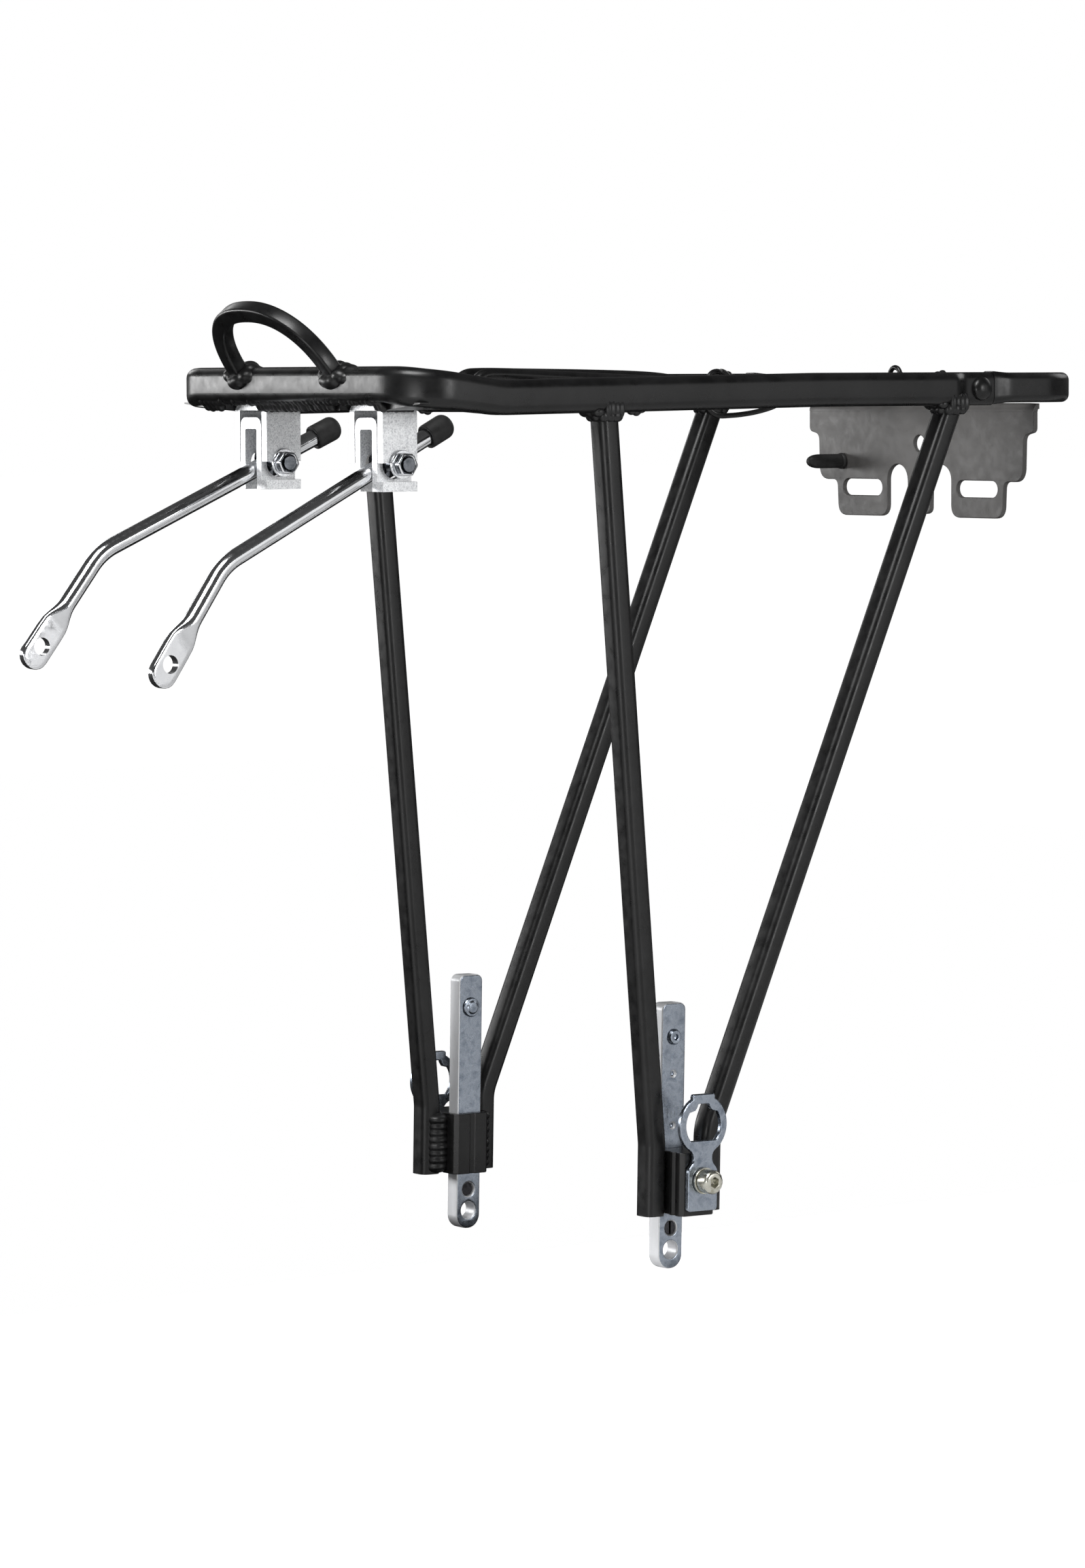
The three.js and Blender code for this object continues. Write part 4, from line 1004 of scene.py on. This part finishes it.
def strap_ring(side, name):
    y = side * (BLOCK_OUTER + GAP + RING_THICK / 2)
    bore = arc(0, 1.5, 2.8, 360, 0, 24)[:-1]
    outlines = [ring_outline(), ring_opening(), bore]
    mesh = sheet_mesh("ring", outlines, RING_THICK, 0.4, FOOT_FRAME @ upright(y))
    plate = f"strap_ring_plate_{name}"
    dress(mesh, plate, "frame", [ZINC], [f"strap_ring_{name}"], 40, flat=True)


def foot_welds(side, name):
    """Ripples in the inner corners between the block and its two legs."""
    heights = [-8.8 + 2.5 * i for i in range(8)]
    look = dict(shape=(1, 1, 0.52), smooth=5, uneven=0.025)
    for way, end, reach in ((-1, "front", 0), (1, "rear", 1.2)):
        points = [FOOT_FRAME @ Vector((way * 9.7, side * (64.2 + reach), z)) for z in heights]
        weld(f"foot_weld_{end}_{name}", points, 4.9, 120 + side + way, **look)


# ---------- the plate and channels for the stays ----------
def plate_weld():
    """A fillet from the crossbar's front face down to the plate, its ripples slanting back."""
    slant = Matrix.Rotation(math.radians(20), 4, "X") @ Matrix.Rotation(math.radians(-42), 4, "Y")
    end_y, radius = 54, 16.9
    run = [end_y - 2.5 * i for i in range(43)]
    points = [(-83.2, y, -2.4) for y in run]
    for a in (0.15, 0.3, 0.45, 0.6, 0.75):
        points.append((-66.3 - radius * math.cos(a), end_y + radius * math.sin(a), -2.3))
    clear_of_channels = 11.5
    points += [(-81.2, y, -4.6) for y in run if abs(abs(y) - STAY_Y) > clear_of_channels]
    weld("plate_weld", points, 2.15, 7, shape=(0.72, 0.8, 1.05), spin=slant)


def channel_welds():
    for side, name in SIDES:
        for way, edge in ((-1, "outer"), (1, "inner")):
            y = side * STAY_Y + way * 9.4
            points = [(x, y, -5.9) for x in (-74, -72.2, -70.6, -69, -67.4, -65.6, -64)]
            weld(f"channel_weld_{edge}_{name}", points, 1.1, 200 + side * 3 + way)


def cad_finishes():
    dress_cad("stay_plate", BLACK, 0.3)
    for _, name in SIDES:
        dress_cad(f"stay_channel_{name}", BLASTED, 0.3, edge=CUT_EDGE)
        dress_cad(f"stay_inner_channel_{name}", BLASTED, 0.3, edge=CUT_EDGE)
        dress_cad(f"foot_block_{name}", BLACK, 0.35)
        dress_cad(f"bar_stop_{name}", ZINC, 0.15)
        dress_cad(f"bar_screw_{name}", DARK_STEEL, 0.15)
        dress_cad(f"ring_washer_{name}", YELLOW, 0.2)
        dress_cad(f"ring_screw_{name}", YELLOW, 0.2)
        dress_cad(f"eye_bolt_{name}", NUT, 0.2)
        dress_cad(f"stay_washer_{name}", ZINC_AND_PAINTED_EDGE_HIGHLIGHT, 0.2)
        # the nut's bevelled rims are painted pale as an edge highlight
        dress_cad(f"stay_nut_{name}", NUT, 0.6, edge=ZINC_AND_PAINTED_EDGE_HIGHLIGHT)


# ---------- stage ----------
def aim(obj, target):
    obj.rotation_euler = (Vector(target) - obj.location).to_track_quat("-Z", "Y").to_euler()


def softbox(name, location, target, size, power):
    lamp = bpy.data.lights.new(name, "AREA")
    lamp.shape = "RECTANGLE"
    lamp.size, lamp.size_y = size
    lamp.energy = power
    obj = bpy.data.objects.new(name, lamp)
    obj.location = location
    obj.visible_camera = False
    bpy.context.scene.collection.objects.link(obj)
    aim(obj, target)


def stage_sheet(name, low, high, z, mat):
    """A level sheet between two corners (x, y), as part of the stage."""
    (x0, y0), (x1, y1) = low, high
    mesh = bpy.data.meshes.new(name)
    mesh.from_pydata([(x0, y0, z), (x1, y0, z), (x1, y1, z), (x0, y1, z)], [], [(0, 1, 2, 3)])
    mesh.materials.append(mat)
    obj = bpy.data.objects.new(name, mesh)
    bpy.context.scene.collection.objects.link(obj)
    return obj


def ground():
    """A pale floor that looks white, and on it a dark card that only reflections see."""
    paint = material("pale_floor", (0.7, 0.7, 0.7), roughness=0.9, specular=0.05)
    tones = [(0.3, (0.68, 0.68, 0.68)), (0.7, (0.72, 0.72, 0.72))]
    link(paint, ramp(paint, noise(paint, 3), tones), shader_input(paint, "Base Color"))
    seen = add(paint, "ShaderNodeLightPath")
    shader_input(paint, "Emission Color").default_value = (1, 1, 1, 1)
    link(paint, seen.outputs["Is Camera Ray"], shader_input(paint, "Emission Strength"))
    z = CAD_BOUNDS[0][2] - 0.0003
    half = 14
    stage_sheet("floor", (-half, -half), (half, half), z, paint)
    cloth = powder_coat("black_cloth", (0.01, 0.01, 0.01), 0.9, specular=0.1)
    card = stage_sheet("black_card", (-1.8, 0), (1.4, 2.2), z + 0.0002, cloth)
    card.visible_camera = False


def sky():
    """White behind the object, and a dim grey for all that the metal reflects."""
    world = bpy.data.worlds.new("studio")
    world.use_nodes = True
    bpy.context.scene.world = world
    nodes, links = world.node_tree.nodes, world.node_tree.links
    back = nodes["Background"]
    direction = nodes.new("ShaderNodeTexCoord")
    split = nodes.new("ShaderNodeSeparateXYZ")
    links.new(direction.outputs["Generated"], split.inputs["Vector"])
    half_up = nodes.new("ShaderNodeMapRange")
    half_up.inputs["From Min"].default_value = -1
    links.new(split.outputs["Z"], half_up.inputs["Value"])
    shade = nodes.new("ShaderNodeValToRGB")
    elements = shade.color_ramp.elements
    elements[0].color = (0.1, 0.1, 0.1, 1)
    elements[1].color = (0.05, 0.05, 0.05, 1)
    elements.new(0.53).color = (0.09, 0.09, 0.09, 1)
    links.new(half_up.outputs["Result"], shade.inputs["Fac"])
    seen = nodes.new("ShaderNodeLightPath")
    mix = nodes.new("ShaderNodeMix")
    mix.data_type = "RGBA"
    factor, color_a, color_b, color_out = mix.inputs[0], mix.inputs[6], mix.inputs[7], mix.outputs[2]
    color_b.default_value = (1, 1, 1, 1)
    links.new(seen.outputs["Is Camera Ray"], factor)
    links.new(shade.outputs["Color"], color_a)
    links.new(color_out, back.inputs["Color"])


def lights():
    softbox("front_box", (-0.95, 1.2, 0.34), (-0.08, 0.05, 0.31), (1.3, 0.3), 12.8)
    softbox("right_box", (1.3, -1.75, 0.45), (0.05, 0, 0.25), (1.1, 0.9), 2.6)
    softbox("flare_box", (0.55, -2.1, 0.5), (0.1, 0, 0.28), (0.4, 0.7), 9)
    softbox("top_box", (-0.9, -0.5, 1.65), (0.1, -0.1, 0), (0.8, 0.9), 34)
    softbox("corner_box", (-1.45, -1.1, 0.12), (0.05, 0, 0.15), (0.7, 0.3), 4.6)
    softbox("rear_box", (0.4, 2.6, 1.2), (0, 0, 0.2), (0.8, 0.8), 6)
    softbox("back_box", (2.0, 0.25, 1.1), (0.1, 0, 0.2), (1.2, 0.8), 5)


def camera():
    azimuth, elevation, roll = (math.radians(a) for a in (-37.26, 4.19, -0.29))
    level = math.cos(elevation)
    back = Vector((math.sin(azimuth) * level, -math.cos(azimuth) * level, math.sin(elevation)))
    right = Vector((0, 0, 1)).cross(back).normalized()
    up = back.cross(right)
    rolled_right = right * math.cos(roll) + up * math.sin(roll)
    rolled_up = up * math.cos(roll) - right * math.sin(roll)
    lens = bpy.data.cameras.new("camera")
    lens.sensor_fit = "VERTICAL"
    lens.sensor_height = 36
    lens.lens = 126.8
    lens.clip_start, lens.clip_end = 0.05, 100
    obj = bpy.data.objects.new("camera", lens)
    columns = Matrix((rolled_right, rolled_up, back)).transposed().to_4x4()
    obj.matrix_world = Matrix.Translation(place((-1167.3, -1566.9, 4.3))) @ columns
    bpy.context.scene.collection.objects.link(obj)
    bpy.context.scene.camera = obj
    bpy.context.scene.view_settings.view_transform = "Standard"


camera()
ground()
sky()
lights()
platform()
rear_loop()
rail_rivets()
ties()
front_hoop()
flap()
flap_spring()
strap_staple()
light_plate()
pump_peg()
plate_weld()
channel_welds()
cad_finishes()
for _side, _name in SIDES:
    leg(_side, _name, "front")
    leg(_side, _name, "rear")
    stay_rod(_side, _name)
    foot_bar(_side, _name)
    strap_ring(_side, _name)
    foot_welds(_side, _name)

bpy.context.view_layer.update()
